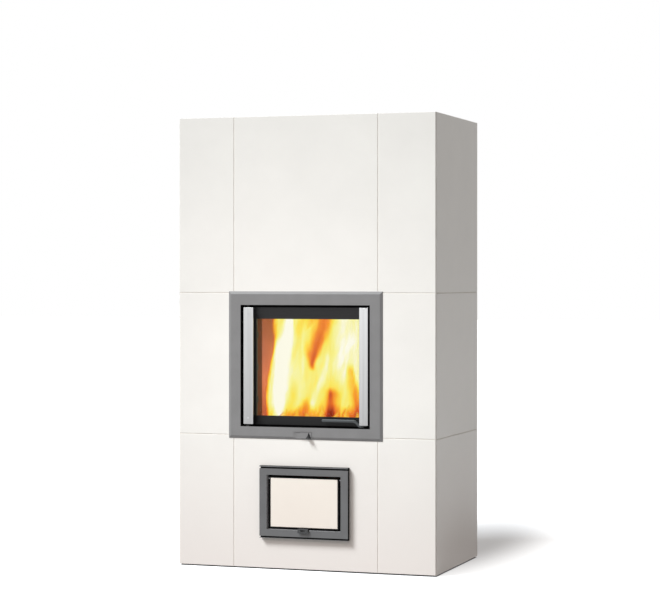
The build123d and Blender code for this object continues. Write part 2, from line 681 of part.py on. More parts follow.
def fire_frame():
    """The cast frame of the fire door: a bevelled front, a collar through the tiles and a stop lip."""
    half = FRAME_WIDTH / 2
    face = window(half, FRONT - FRAME_PROUD, FRONT, FRAME_BOTTOM, FRAME_TOP)
    front_face = face.faces().sort_by(Axis.Y)[0]
    face = chamfer(front_face.edges(), FRAME_BEVEL, FRAME_BEVEL_DEPTH, reference=front_face)
    opening = FIRE_OPENING / 2
    collar = window(
        opening + COLLAR,
        FRONT,
        COLLAR_BACK,
        FIRE_OPENING_BOTTOM - COLLAR,
        FIRE_OPENING_TOP + COLLAR,
    )
    frame = face + collar
    frame -= window(
        opening,
        FRONT - FRAME_PROUD - OVERCUT,
        LIP_FRONT,
        FIRE_OPENING_BOTTOM,
        FIRE_OPENING_TOP,
    )
    frame -= window(
        THROAT_WIDTH / 2,
        LIP_FRONT - OVERCUT,
        COLLAR_BACK + OVERCUT,
        STOP_LIP_BOTTOM,
        THROAT_TOP,
    )
    outside = FRONT - FRAME_PROUD - OVERCUT
    floor = FRONT - FRAME_PROUD + AIR_RECESS
    ramp = AIR_RECESS_RAMP * (AIR_RECESS + OVERCUT) / AIR_RECESS
    recess = [
        (AIR_RECESS_LEFT, floor),
        (AIR_RECESS_RIGHT, floor),
        (AIR_RECESS_RIGHT, outside),
        (AIR_RECESS_LEFT - ramp, outside),
    ]
    frame -= prism_z(recess, AIR_RECESS_BOTTOM, AIR_RECESS_TOP)
    frame -= block(
        AIR_STEM_X - AIR_STEM_WIDE / 2 - AIR_TRAVEL - AIR_PLAY,
        AIR_STEM_X + AIR_STEM_WIDE / 2 + AIR_PLAY,
        floor - OVERCUT,
        FRONT + OVERCUT,
        AIR_STEM_Z - AIR_STEM_HIGH / 2 - AIR_PLAY,
        AIR_STEM_Z + AIR_STEM_HIGH / 2 + AIR_PLAY,
    )
    for z0, z1 in (
        (FIRE_OPENING_BOTTOM - COLLAR - OVERCUT, FIRE_OPENING_BOTTOM + OVERCUT),
        (FIRE_OPENING_TOP - OVERCUT, FIRE_OPENING_TOP + COLLAR + OVERCUT),
    ):
        frame -= rod_z(HINGE_X, HINGE_Y, z0, z1, HINGE_PIN + HINGE_PLAY)
    save("fire_door_frame", frame)
    reach = HINGE_BORE - HINGE_TIP_PLAY
    foot = FIRE_OPENING_BOTTOM - COLLAR
    head = FIRE_OPENING_TOP + COLLAR
    lower = rod_z(HINGE_X, HINGE_Y, foot, LEAF_BOTTOM + reach, HINGE_PIN)
    lower += rod_z(HINGE_X, HINGE_Y, FIRE_OPENING_BOTTOM, LEAF_BOTTOM - SEAT_PLAY, HINGE_SHOULDER)
    upper = rod_z(HINGE_X, HINGE_Y, LEAF_TOP - reach, head, HINGE_PIN)
    save("fire_door_hinge_pins", lower, upper)
    keeper = block(
        opening - KEEPER_THICK,
        opening,
        LIP_FRONT - KEEPER_DEPTH,
        LIP_FRONT,
        KEEPER_Z,
        KEEPER_Z + KEEPER_HIGH,
    )
    ramp = keeper.edges().filter_by(Axis.X).group_by(Axis.Z)[0].sort_by(Axis.Y)[0]
    save("latch_keeper", chamfer(ramp, KEEPER_RAMP))


def leaf():
    """The fire door's leaf: a plate with raised stiles, rebated at the back for the glass."""
    plate = window(LEAF_X, LEAF_FRONT, LEAF_BACK, LEAF_BOTTOM, LEAF_TOP)
    pocket = LEAF_BOTTOM + STILE_POCKET
    for side, bottom in ((-1, LEAF_BOTTOM), (1, pocket)):
        inner = side * (LEAF_X - STILE_WIDTH)
        plate += block(inner, side * LEAF_X, STRIP_BACK, LEAF_FRONT, bottom, LEAF_TOP)
    half = GLASS_OPENING / 2
    behind = LEAF_BACK + OVERCUT
    band_back = LEAF_FRONT + TOP_BAND_RECESS
    plate -= window(half, LEAF_FRONT - OVERCUT, band_back, GLASS_OPENING_BOTTOM, BAND_TOP)
    plate -= window(half, LEAF_FRONT, behind, GLASS_OPENING_BOTTOM, GLASS_OPENING_TOP)
    plate -= window(REBATE_X, REBATE_FRONT, behind, GLASS_BOTTOM - GLASS_PLAY, GLASS_TOP + GLASS_PLAY)
    for z0, z1 in (
        (LEAF_BOTTOM - OVERCUT, LEAF_BOTTOM + HINGE_BORE),
        (LEAF_TOP - HINGE_BORE, LEAF_TOP + OVERCUT),
    ):
        plate -= rod_z(HINGE_X, HINGE_Y, z0, z1, HINGE_PIN + HINGE_PLAY)
    plate -= rod_y(SPINDLE_X, LEAF_FRONT - OVERCUT, behind, SPINDLE_Z, SPINDLE + SPINDLE_PLAY)
    for x, z in clip_screw_places():
        plate -= rod_y(x, LEAF_BACK - SCREW_LONG, behind, z, SCREW + SCREW_PLAY)
    for z in strip_screw_heights():
        x = strip_screw_x()
        plate -= rod_y(x, STRIP_BACK - OVERCUT, STRIP_BACK + SCREW_LONG, z, SCREW + SCREW_PLAY)
    save("fire_door_leaf", plate)


def clip_screw_places():
    """Where the glass clips' screws stand, as X and Z."""
    x = REBATE_X + SCREW_HEAD + SEAT_PLAY
    pitch = (GLASS_OPENING_TOP - GLASS_OPENING_BOTTOM) / CLIPS
    heights = [GLASS_OPENING_BOTTOM + pitch * (index + 0.5) for index in range(CLIPS)]
    return [(side * x, z) for side in (-1, 1) for z in heights]


def strip_screw_x():
    """The middle of the hinge side's strip, in X."""
    return LEFT_STRIP / 2 - STRIP_OUTSIDE


def strip_screw_heights():
    """The heights of the two screws in the hinge side's strip."""
    return (LEAF_BOTTOM + STRIP_SCREW_INSET, LEAF_TOP - STRIP_SCREW_INSET)


def glazing():
    """Glass, its gasket, the clips that hold it, and all the door's screws."""
    save("fire_door_glass", window(GLASS_X, GLASS_FRONT, GLASS_BACK, GLASS_BOTTOM, GLASS_TOP))
    gasket = window(GLASS_X, REBATE_FRONT, GLASS_FRONT, GLASS_BOTTOM, GLASS_TOP)
    gasket -= window(
        GLASS_OPENING / 2,
        REBATE_FRONT - OVERCUT,
        GLASS_FRONT + OVERCUT,
        GLASS_OPENING_BOTTOM,
        BAND_TOP,
    )
    save("glass_gasket", gasket)
    clips, screws = [], []
    rear = LEAF_BACK + CLIP_THICK
    for x, z in clip_screw_places():
        side = math.copysign(1, x)
        outer = side * (REBATE_X + CLIP_REACH)
        inner = side * (REBATE_X - CLIP_REACH)
        bottom = z - CLIP_HEIGHT / 2
        top = z + CLIP_HEIGHT / 2
        clip = block(side * REBATE_X, outer, LEAF_BACK, rear, bottom, top)
        foot = block(inner, side * REBATE_X, GLASS_BACK, rear, bottom, top)
        hole = rod_y(x, LEAF_BACK - OVERCUT, rear + OVERCUT, z, SCREW + SCREW_PLAY)
        clips.append(clip + foot - hole)
        shank = rod_y(x, LEAF_BACK - SCREW_LONG + SCREW_TIP_PLAY, rear, z, SCREW)
        screws.append(shank + rod_y(x, rear, rear + SCREW_HEAD_HIGH, z, SCREW_HEAD))
    save("glass_clips", *clips)
    for z in strip_screw_heights():
        x = strip_screw_x()
        front = STRIP_BACK - STRIP_THICK
        shank = rod_y(x, front, STRIP_BACK + SCREW_LONG - SCREW_TIP_PLAY, z, SCREW)
        screws.append(shank + rod_y(x, front - STRIP_SCREW_HEAD, front, z, SCREW_HEAD))
    save("door_screws", *screws)


def strips():
    """The steel strips on the stiles."""
    front = STRIP_BACK - STRIP_THICK
    behind = STRIP_BACK + OVERCUT
    for word, (side, width, bottom) in STRIPS.items():
        inner = side * (STRIP_OUTSIDE - width)
        strip = block(inner, side * STRIP_OUTSIDE, front, STRIP_BACK, bottom, LEAF_TOP)
        strip = ease(strip, Axis.Y, front, STRIP_EDGE)
        if side < 0:
            for z in strip_screw_heights():
                strip -= rod_y(strip_screw_x(), front - OVERCUT, behind, z, SCREW + SCREW_PLAY)
        save(f"door_strip_{word}", strip)


def seal():
    """The rope seal on the leaf's back, which meets the frame's stop lip."""
    bottom = LEAF_BOTTOM + SEAL_MARGIN
    top = LEAF_TOP - SEAL_MARGIN
    rope = window(SEAL_OUTSIDE, LEAF_BACK, LIP_FRONT - SEAT_PLAY, bottom, top)
    rope -= window(
        SEAL_OUTSIDE - SEAL_WIDTH,
        LEAF_BACK - OVERCUT,
        LIP_FRONT,
        bottom + SEAL_WIDTH,
        top - SEAL_WIDTH,
    )
    save("fire_door_rope_seal", rope)


def handle():
    """The cranked lever with its spindle, and the latch finger and nut behind the leaf."""
    lever_back = LEAF_FRONT - HANDLE_STANDOFF
    lever_front = lever_back - HANDLE_THICK
    root = (SPINDLE_X, SPINDLE_Z - HANDLE_ROOT_DROP)
    dip = (HANDLE_DIP_X, HANDLE_DIP_Z)
    bend = (HANDLE_BEND_X, HANDLE_BAR_Z)
    path = Spline([root, dip, bend], tangents=[(-1, -0.5), (-1, 0)])
    bar = Line(bend, (HANDLE_TIP_X, HANDLE_BAR_Z))
    reach = HANDLE_WIDE / 2
    outline = trace([path, bar], HANDLE_WIDE)
    lever = Pos(0, lever_back, 0) * Rot(90, 0, 0) * extrude(outline, amount=HANDLE_THICK)
    lever += rod_y(HANDLE_TIP_X, lever_front, lever_back, HANDLE_BAR_Z, reach)
    lever += rod_y(SPINDLE_X, STRIP_BACK + SEAT_PLAY, LEAF_FRONT - SEAT_PLAY, SPINDLE_Z, HANDLE_HUB)
    rear = LEAF_BACK + SEAT_PLAY + FINGER_THICK + NUT_THICK
    lever += rod_y(SPINDLE_X, LEAF_FRONT - OVERCUT, rear, SPINDLE_Z, SPINDLE)
    save("door_handle", lever)
    finger_front = LEAF_BACK + SEAT_PLAY
    finger_back = finger_front + FINGER_THICK
    hole = SPINDLE + SPINDLE_PLAY / 2
    bore = rod_y(SPINDLE_X, finger_front - OVERCUT, rear + OVERCUT, SPINDLE_Z, hole)
    straight = FINGER - FINGER_WIDE / 2
    finger = Pos(straight / 2, 0, 0) * Box(straight, FINGER_THICK, FINGER_WIDE)
    finger += Pos(straight, 0, 0) * Rot(90, 0, 0) * Cylinder(FINGER_WIDE / 2, FINGER_THICK)
    finger += Rot(90, 0, 0) * Cylinder(FINGER_HUB, FINGER_THICK)
    place = Pos(SPINDLE_X, (finger_front + finger_back) / 2, SPINDLE_Z) * Rot(0, -FINGER_ANGLE, 0)
    save("latch_finger", place * finger - bore)
    hexagon = extrude(RegularPolygon(FINGER_HUB, 6), amount=NUT_THICK)
    nut = Pos(SPINDLE_X, finger_back + NUT_THICK, SPINDLE_Z) * Rot(90, 0, 0) * hexagon
    save("spindle_nut", nut - bore)


def upright_triangle(y, wide, bottom, high):
    """A face square to Y with its foot level and its point on top, to loft the fin from."""
    corners = [
        (AIR_STEM_X - wide / 2, y, bottom),
        (AIR_STEM_X + wide / 2, y, bottom),
        (AIR_STEM_X, y, bottom + high),
    ]
    return make_face(Polyline(corners, close=True))


def air_control():
    """The air slide behind the frame's lower bar, its rails, and the fin that moves it."""
    front = FRONT + AIR_PLAY
    bottom = LOWER_TOP + AIR_RAIL + SEAT_PLAY
    top = FIRE_OPENING_BOTTOM - COLLAR - AIR_RAIL - SEAT_PLAY
    half = AIR_PLATE_LONG / 2
    plate = block(AIR_STEM_X - half, AIR_STEM_X + half, front, front + AIR_PLATE, bottom, top)
    for side in (-1, 1):
        x = AIR_STEM_X + side * (half - AIR_WINDOW)
        plate -= block(
            x - AIR_WINDOW / 2,
            x + AIR_WINDOW / 2,
            front - OVERCUT,
            front + AIR_PLATE + OVERCUT,
            bottom + AIR_WINDOW_MARGIN,
            top - AIR_WINDOW_MARGIN,
        )
    save("air_slide_plate", plate)
    span = half + AIR_TRAVEL
    rails = [
        block(AIR_STEM_X - span, AIR_STEM_X + span, FRONT, FRONT + AIR_RAIL_DEPTH, z, z + AIR_RAIL)
        for z in (LOWER_TOP, top + SEAT_PLAY)
    ]
    save("air_slide_rails", *rails)
    floor = FRONT - FRAME_PROUD + AIR_RECESS
    foot_back = floor - SEAT_PLAY
    foot_front = foot_back - AIR_FOOT
    z0 = AIR_RECESS_BOTTOM + AIR_FOOT_PLAY
    z1 = AIR_RECESS_TOP - AIR_FOOT_PLAY
    lever = block(AIR_FOOT_X0, AIR_FOOT_X1, foot_front, foot_back, z0, z1)
    tip_y = FRONT - FRAME_PROUD - AIR_FIN
    base = upright_triangle(foot_front, AIR_FIN_WIDE, z0, z1 - z0)
    tip = upright_triangle(tip_y, AIR_TIP_WIDE, z0, AIR_TIP_HIGH)
    lever += loft([base, tip])
    lever += block(
        AIR_STEM_X - AIR_STEM_WIDE / 2,
        AIR_STEM_X + AIR_STEM_WIDE / 2,
        foot_back,
        front,
        AIR_STEM_Z - AIR_STEM_HIGH / 2,
        AIR_STEM_Z + AIR_STEM_HIGH / 2,
    )
    save("air_control_lever", lever)


def ash_frame():
    """The cast frame of the ash door, with a groove above and below, a collar and two resting lips."""
    half = ASH_FRAME_WIDTH / 2
    front = FRONT - ASH_FRAME_PROUD
    frame = window(half, front, FRONT, ASH_FRAME_BOTTOM, ASH_FRAME_TOP)
    upper = ASH_FRAME_TOP - ASH_GROOVE_INSET
    lower = ASH_FRAME_BOTTOM + ASH_LOWER_INSET
    for low, high in ((upper - ASH_GROOVE, upper), (lower, lower + ASH_LOWER_GROOVE)):
        frame -= window(half + OVERCUT, front - OVERCUT, front + ASH_GROOVE_DEPTH, low, high)
    frame += window(ASH_COLLAR_X, FRONT, CORE_FRONT, ASH_COLLAR_BOTTOM, ASH_COLLAR_TOP)
    opening = ASH_OPENING / 2
    frame -= window(opening, front - OVERCUT, CORE_FRONT + OVERCUT, ASH_OPENING_BOTTOM, ASH_OPENING_TOP)
    lip_front = TRAY_REAR + ASH_SEAL + SEAT_PLAY
    for side in (-1, 1):
        frame += block(
            side * (opening - ASH_LIP),
            side * opening,
            lip_front,
            lip_front + ASH_LIP_THICK,
            ASH_OPENING_BOTTOM,
            ASH_LIP_TOP,
        )
    for side in (-1, 1):
        frame -= rod_x(
            side * (opening - OVERCUT),
            side * (ASH_COLLAR_X - ASH_PIN_WALL),
            ASH_HINGE_Y,
            ASH_HINGE_Z,
            ASH_PIN + HINGE_PLAY,
        )
    save("ash_door_frame", frame)
    pins = [
        rod_x(
            side * (TRAY_X + ASH_PIN_PLAY),
            side * (ASH_COLLAR_X - ASH_PIN_WALL - ASH_PIN_PLAY),
            ASH_HINGE_Y,
            ASH_HINGE_Z,
            ASH_PIN,
        )
        for side in (-1, 1)
    ]
    save("ash_door_pins", *pins)
    seals = [
        block(
            side * (opening - ASH_LIP + ASH_SEAL_INSET),
            side * (opening - ASH_LIP + ASH_SEAL_INSET + ASH_SEAL_WIDE),
            lip_front - ASH_SEAL,
            lip_front,
            TRAY_BOTTOM,
            ASH_LIP_TOP,
        )
        for side in (-1, 1)
    ]
    save("ash_door_seal", *seals)


def ash_flap():
    """The ash door: a steel tray with a glazed insert, and the pull under it."""
    tile = window(ASH_TILE_WIDTH / 2, ASH_TILE_FRONT, TRAY_FRONT, ASH_TILE_BOTTOM, ASH_TILE_TOP)
    save("ash_door_tile", ease(tile, Axis.Y, ASH_TILE_FRONT, ARRIS))
    rim_top = ASH_TILE_TOP + ASH_TILE_PLAY
    tray = window(
        TRAY_X + TRAY_RIM,
        ASH_TILE_FRONT + TRAY_RIM_BACK,
        TRAY_REAR,
        TRAY_BOTTOM,
        rim_top + TRAY_RIM,
    )
    tray -= window(TRAY_X, ASH_TILE_FRONT, TRAY_FRONT, TRAY_BOTTOM + TRAY_RIM, rim_top)
    for side in (-1, 1):
        tray -= rod_x(
            side * (TRAY_X - OVERCUT),
            side * (TRAY_X + TRAY_RIM + OVERCUT),
            ASH_HINGE_Y,
            ASH_HINGE_Z,
            ASH_PIN + HINGE_PLAY,
        )
    save("ash_door_leaf", tray)
    pull_back = FRONT - ASH_FRAME_PROUD - PULL_CLEAR
    pull_front = pull_back - PULL_PLATE
    plate = window(PULL_WIDE / 2, pull_front, pull_back, PULL_BOTTOM, PULL_TOP)
    plate = fillet(plate.edges().filter_by(Axis.Y), PULL_ROUNDING)
    slot_top = PULL_TOP - PULL_RIM
    slot = window(
        PULL_SLOT_WIDE / 2,
        pull_front - OVERCUT,
        pull_back + OVERCUT,
        slot_top - PULL_SLOT_HIGH,
        slot_top,
    )
    leg = window(
        PULL_LEG / 2,
        pull_back - OVERCUT,
        TRAY_REAR,
        TRAY_BOTTOM - PULL_LEG_THICK,
        TRAY_BOTTOM,
    )
    save("ash_door_pull", plate - slot + leg)


def ash_pan():
    """The sheet-steel pan behind the flap, with a lip to draw it by."""
    front = TRAY_REAR + PAN_FRONT_GAP
    half = PAN_WIDTH / 2
    bottom = ASH_FLOOR + SEAT_PLAY
    top = bottom + PAN_HIGH
    rear = front + PAN_LONG
    pan = window(half, front, rear, bottom, top)
    pan -= window(half - PAN_WALL, front + PAN_WALL, rear - PAN_WALL, bottom + PAN_WALL, top + OVERCUT)
    pan += window(half / 2, front - PAN_LIP, front, top - PAN_WALL, top)
    save("ash_pan", pan)


def main():
    core()
    ash_chamber()
    hearth()
    firebox()
    tiles()
    joints()
    fixings()
    fire_frame()
    leaf()
    glazing()
    strips()
    seal()
    handle()
    air_control()
    ash_frame()
    ash_flap()
    ash_pan()


main()
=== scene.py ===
"""Looks of a ceramic-clad stove: glaze, iron, steel, glass, brick, a wood fire and a pale studio."""

import math
import random

import bmesh
import bpy
from bpy.props import FloatProperty, FloatVectorProperty, IntProperty, PointerProperty
from bpy.types import Operator, Panel, PropertyGroup
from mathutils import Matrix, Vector, noise


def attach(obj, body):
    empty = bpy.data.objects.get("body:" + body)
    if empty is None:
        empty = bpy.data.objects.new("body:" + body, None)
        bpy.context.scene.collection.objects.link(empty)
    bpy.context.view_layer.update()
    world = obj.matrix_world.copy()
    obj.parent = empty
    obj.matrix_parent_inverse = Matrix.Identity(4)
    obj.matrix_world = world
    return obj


bl_info = {
    "name": "Tiled Stove Looks",
    "version": (1, 0, 0),
    "blender": (4, 5, 0),
    "location": "3D View > Sidebar > Stove",
    "description": "Finishes, fire and studio for a ceramic-clad stove",
    "category": "Object",
}

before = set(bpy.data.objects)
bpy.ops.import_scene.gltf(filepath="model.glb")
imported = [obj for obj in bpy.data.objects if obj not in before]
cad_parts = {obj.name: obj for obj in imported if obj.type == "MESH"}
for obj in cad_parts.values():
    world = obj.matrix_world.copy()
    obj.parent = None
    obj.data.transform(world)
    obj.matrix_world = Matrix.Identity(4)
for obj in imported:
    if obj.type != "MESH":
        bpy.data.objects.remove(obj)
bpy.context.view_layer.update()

GLAZED = [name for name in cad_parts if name.startswith(("front_tile", "side_tile"))]
GLAZED += ["cover_slab"]
BLACK_IRON = ["fire_door_hinge_pins", "latch_keeper", "grate"]
BLACK_SHEET = ["base_plate", "lintel_bar", "flue_sleeve", "glass_clips", "air_slide_rails", "ash_pan"]
ZINC_SHEET = ["tile_clips", "frame_anchors", "air_slide_plate"]
TURNED_STEEL = ["ash_door_pins", "door_screws", "latch_finger", "spindle_nut"]
# Each strip's brightness beside the shared steel colour, painted light, and the share of it that a painted
# shade takes at the bottom
STRIPS_PAINTED_LIGHT = {"door_strip_left": (1.02, 0.3), "door_strip_right": (1.2, 0.4)}
CONCRETE = [
    "base_slab",
    "core_side_walls",
    "core_rear_wall",
    "channel_front_walls",
    "core_top_slab",
    "ash_chamber_bricks",
]
FIREBRICK = ["hearth_bricks", "firebox_walls", "firebox_lintel", "baffle_slab", "upper_chamber_walls"]
ROPE = ["ash_door_seal", "glass_gasket", "fire_door_rope_seal"]


# Sizes and colours that a user would change


def colour_property(name, description, default):
    """A colour without alpha."""
    return FloatVectorProperty(
        name=name, description=description, default=default, size=3, min=0, max=1, subtype="COLOR"
    )


def length_property(name, description, default):
    """A length in metres."""
    return FloatProperty(name=name, description=description, default=default, min=0, unit="LENGTH")


def factor_property(name, description, default):
    """A share from 0 to 1."""
    return FloatProperty(
        name=name, description=description, default=default, min=0, max=1, subtype="FACTOR"
    )


def strength_property(name, description, default):
    """A strength without a unit."""
    return FloatProperty(name=name, description=description, default=default, min=0)


def power_property(name, description, default):
    """A lamp's power."""
    return FloatProperty(name=name, description=description, default=default, min=0, unit="POWER")


class StoveTileSettings(PropertyGroup):
    glaze: colour_property("Glaze", "Colour of the glazed tiles", (0.868, 0.862, 0.832))
    warm_cast: colour_property("Warm cast", "Shade of the glaze at the floor", (0.955, 0.905, 0.9))
    insert: colour_property("Insert", "Colour of the ash door's glazed insert", (0.888, 0.85, 0.778))
    glaze_shift: factor_property("Shift", "How much the glaze colour varies over a tile", 0.03)
    glaze_roughness: factor_property("Roughness", "Roughness of the glaze", 0.42)
    ripple: length_property("Ripple", "Depth of the glaze's gentle waves", 0.00012)
    mortar: colour_property("Mortar", "Colour of the joints", (0.78, 0.75, 0.7))
    render: colour_property("Render", "Colour of the plain rear slabs", (0.72, 0.69, 0.64))


class StoveMetalSettings(PropertyGroup):
    grey_iron: colour_property("Grey iron", "Lacquer on the fire door's frame", (0.205, 0.206, 0.209))
    ash_iron: colour_property("Ash door iron", "Lacquer on the ash door's frame", (0.125, 0.127, 0.131))
    pull: colour_property("Pull", "Lacquer on the ash door's pull", (0.035, 0.036, 0.038))
    fin: colour_property("Fin", "Lacquer on the air control's fin", (0.03, 0.031, 0.032))
    black_iron: colour_property("Black iron", "Lacquer on the door leaf", (0.02, 0.0205, 0.0215))
    handle: colour_property("Lever", "Lacquer on the door's lever", (0.04, 0.046, 0.05))
    sheet: colour_property("Black sheet", "Paint on the sheet parts", (0.022, 0.022, 0.023))
    steel: colour_property("Strips", "Brushed steel beside the glass", (0.5, 0.5, 0.5))
    zinc: colour_property("Zinc", "Bright sheet fixings", (0.5, 0.51, 0.52))
    turned: colour_property("Turned steel", "Pins, screws and nuts", (0.46, 0.46, 0.47))
    casting_grain: length_property("Casting grain", "Size of the grain in the lacquered castings", 0.0011)
    casting_depth: length_property("Grain depth", "Depth of that grain", 0.00006)


class StoveCoreSettings(PropertyGroup):
    concrete: colour_property("Concrete", "Storage core blocks", (0.47, 0.44, 0.4))
    firebrick: colour_property("Firebrick", "Bricks round the fire", (0.56, 0.217, 0.17))
    soot_and_shade: colour_property("Soot", "Soot on the bricks", (0.06, 0.035, 0.028))
    board: colour_property("Insulation", "Board over the core", (0.8, 0.78, 0.72))
    rope: colour_property("Rope", "Woven seals", (0.1, 0.1, 0.1))
    glass: colour_property("Glass", "Glass ceramic, a little warm", (0.985, 0.965, 0.93))


class StoveFireSettings(PropertyGroup):
    floor: length_property("Fire floor", "Height of the hearth under the fire", 0.4552)
    glow: strength_property("Glow", "Brightness of the flames", 1.0)
    lamp: power_property("Fire light", "Light of the fire on the bricks", 1.25)
    ember_glow: strength_property("Ember glow", "Strength of the embers' light", 1.2)
    seed: IntProperty(name="Seed", description="Start of the random draws", default=7)


class StoveStageSettings(PropertyGroup):
    lens: FloatProperty(name="Lens", description="Focal length in mm", default=113.6, min=1)
    key: strength_property("Key", "Strength of the soft light from the upper left", 3.9)
    fill: power_property("Fill", "Power of the panel in front", 2.45)
    sky: strength_property("Sky", "Strength of the light from all round", 0.3)
    floor: factor_property("Floor", "How pale the floor is for the light that it throws back", 0.26)


# Helpers for nodes, objects and finishes


def node(tree, kind, inputs=None, **settings):
    """A shader node with its settings; each input is a value or another node's output."""
    made = tree.nodes.new("ShaderNode" + kind)
    for name, value in settings.items():
        setattr(made, name, value)
    for name, value in (inputs or {}).items():
        if isinstance(value, bpy.types.NodeSocket):
            tree.links.new(value, made.inputs[name])
        else:
            made.inputs[name].default_value = value
    return made


def opaque(colour):
    """A colour with full alpha."""
    return (*tuple(colour)[:3], 1.0)


def scaled(colour, factor):
    """A lighter or darker shade, kept within range."""
    return tuple(min(1.0, c * factor) for c in tuple(colour)[:3])


def finish_material(name, inputs):
    """A new material with one Principled shader, and its tree and shader."""
    made = bpy.data.materials.new(name)
    made.use_nodes = True
    shader = made.node_tree.nodes["Principled BSDF"]
    for socket, value in inputs.items():
        shader.inputs[socket].default_value = value
    return made, made.node_tree, shader


def stretched(tree, scale=(1, 1, 1), kind="Object", offset=0.0):
    """Texture coordinates times a scale for each axis, and moved; the kind Object is in metres."""
    place = node(tree, "TexCoord").outputs[kind]
    moved = (offset, offset, offset)
    return node(tree, "Mapping", {"Vector": place, "Scale": scale, "Location": moved}).outputs["Vector"]


def grain(tree, size, detail, vector=None, roughness=0.5, distortion=0.0):
    """Noise with features of about that size in metres, from 0 to 1."""
    inputs = {
        "Vector": vector or stretched(tree),
        "Scale": 1 / size,
        "Detail": detail,
        "Roughness": roughness,
        "Distortion": distortion,
    }
    return node(tree, "TexNoise", inputs).outputs["Fac"]


def blend_colours(tree, share, stops):
    """A colour ramp: each stop is a place from 0 to 1 and a colour."""
    ramp = node(tree, "ValToRGB", {"Fac": share})
    points = ramp.color_ramp.elements
    while len(points) < len(stops):
        points.new(0.5)
    for point, (place, colour) in zip(points, stops):
        point.position = place
        point.color = opaque(colour)
    return ramp.outputs["Color"]


def spread(tree, value, low, high, source=(0.0, 1.0), smooth=False):
    """A value brought from its source range to another one, and held within it."""
    inputs = {"Value": value, "From Min": source[0], "From Max": source[1], "To Min": low, "To Max": high}
    kind = "SMOOTHSTEP" if smooth else "LINEAR"
    return node(tree, "MapRange", inputs, interpolation_type=kind).outputs["Result"]


def combine(tree, operation, first, second):
    """One step of arithmetic on two values."""
    return node(tree, "Math", {0: first, 1: second}, operation=operation).outputs["Value"]


def mix_colours(tree, share, first, second):
    """The first colour where the share is 0, the second where it is 1."""
    return node(tree, "Mix", {0: share, 6: first, 7: second}, data_type="RGBA").outputs[2]


def position(tree):
    """The place on a piece in metres, one output for each axis."""
    return node(tree, "SeparateXYZ", {"Vector": stretched(tree)}).outputs


def mingled(tree, first, second, share):
    """Two grains in one; the first has the given share."""
    return combine(tree, "ADD", spread(tree, first, 0.0, share), spread(tree, second, 0.0, 1 - share))


def mottled(tree, share, colour, contrast, low=0.3):
    """A colour that turns from darker to lighter between a low value and as much below 1."""
    stops = [(low, scaled(colour, 1 - contrast)), (1 - low, scaled(colour, 1 + contrast))]
    return blend_colours(tree, share, stops)


def relief(tree, shader, height, depth):
    """Bump on the shader, with its depth in metres."""
    bump = node(tree, "Bump", {"Height": height, "Distance": depth, "Strength": 1.0})
    tree.links.new(bump.outputs["Normal"], shader.inputs["Normal"])


def node_box(name):
    """The two corners of a CAD node's box."""
    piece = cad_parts[name]
    points = [piece.matrix_world @ vertex.co for vertex in piece.data.vertices]
    low = Vector([min(point[axis] for point in points) for axis in range(3)])
    high = Vector([max(point[axis] for point in points) for axis in range(3)])
    return low, high


def bare_tree(owner):
    """The node tree of a material or a world, emptied."""
    owner.use_nodes = True
    owner.node_tree.nodes.clear()
    return owner.node_tree


def placed(name, data):
    """A new object in the scene."""
    made = bpy.data.objects.new(name, data)
    bpy.context.scene.collection.objects.link(made)
    return made


def new_lamp(name, kind, power, colour):
    """A new lamp in the scene."""
    light = bpy.data.lights.new(name, kind)
    light.energy = power
    light.color = colour
    return placed(name, light)


def dress(names, material):
    """Give CAD nodes their finish."""
    for name in names:
        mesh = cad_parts[name].data
        mesh.materials.clear()
        mesh.materials.append(material)


# Finishes

# The glaze, in metres: sizes of its clouds of colour, its waves and its specks, and the height below which it
# turns warmer
GLAZE_CLOUD = 0.19
GLAZE_WAVE = 0.045
GLAZE_SPECK = 0.0016
WARM_BELOW = 0.44


def glaze(name, settings, base):
    """White glaze: slow waves, a faint shift of colour that warms towards the floor, and a soft gloss."""
    material, tree, shader = finish_material(name, {"Specular IOR Level": 0.42})
    cloud = grain(tree, GLAZE_CLOUD, 4.0, roughness=0.6)
    speck = grain(tree, GLAZE_SPECK, 2.0)
    mixed = mingled(tree, cloud, speck, 0.82)
    body = mottled(tree, mixed, base, settings.glaze_shift, low=0.25)
    warm = tuple(b * c for b, c in zip(base, settings.warm_cast))
    share = spread(tree, position(tree)["Z"], 1.0, 0.0, (0.0, WARM_BELOW))
    tree.links.new(mix_colours(tree, share, body, opaque(warm)), shader.inputs["Base Color"])
    rough = settings.glaze_roughness
    tree.links.new(spread(tree, cloud, rough - 0.05, rough + 0.05), shader.inputs["Roughness"])
    wave = combine(tree, "ADD", grain(tree, GLAZE_WAVE, 2.0), spread(tree, speck, 0.0, 0.02))
    relief(tree, shader, wave, settings.ripple)
    return material


# Mineral finishes: size of the grit and depth of its relief in metres, contrast of the colour, and roughness
GRITS = {
    "joint_mortar": (0.0012, 0.0002, 0.08, 0.9),
    "rear_render": (0.0018, 0.0002, 0.05, 0.85),
    "storage_concrete": (0.003, 0.0005, 0.14, 0.9),
    "insulation_board": (0.002, 0.0004, 0.05, 0.95),
}
PATCH_GRAINS = 30  # how many grains wide the slow patches are


def gritty(name, colour):
    """A mineral surface with grains and slow patches."""
    size, depth, contrast, roughness = GRITS[name]
    material, tree, shader = finish_material(name, {"Roughness": roughness, "Specular IOR Level": 0.3})
    grit = grain(tree, size, 5.0, roughness=0.65)
    patch = grain(tree, size * PATCH_GRAINS, 3.0)
    body = mottled(tree, mingled(tree, grit, patch, 0.6), colour, contrast)
    tree.links.new(body, shader.inputs["Base Color"])
    relief(tree, shader, grit, depth)
    return material


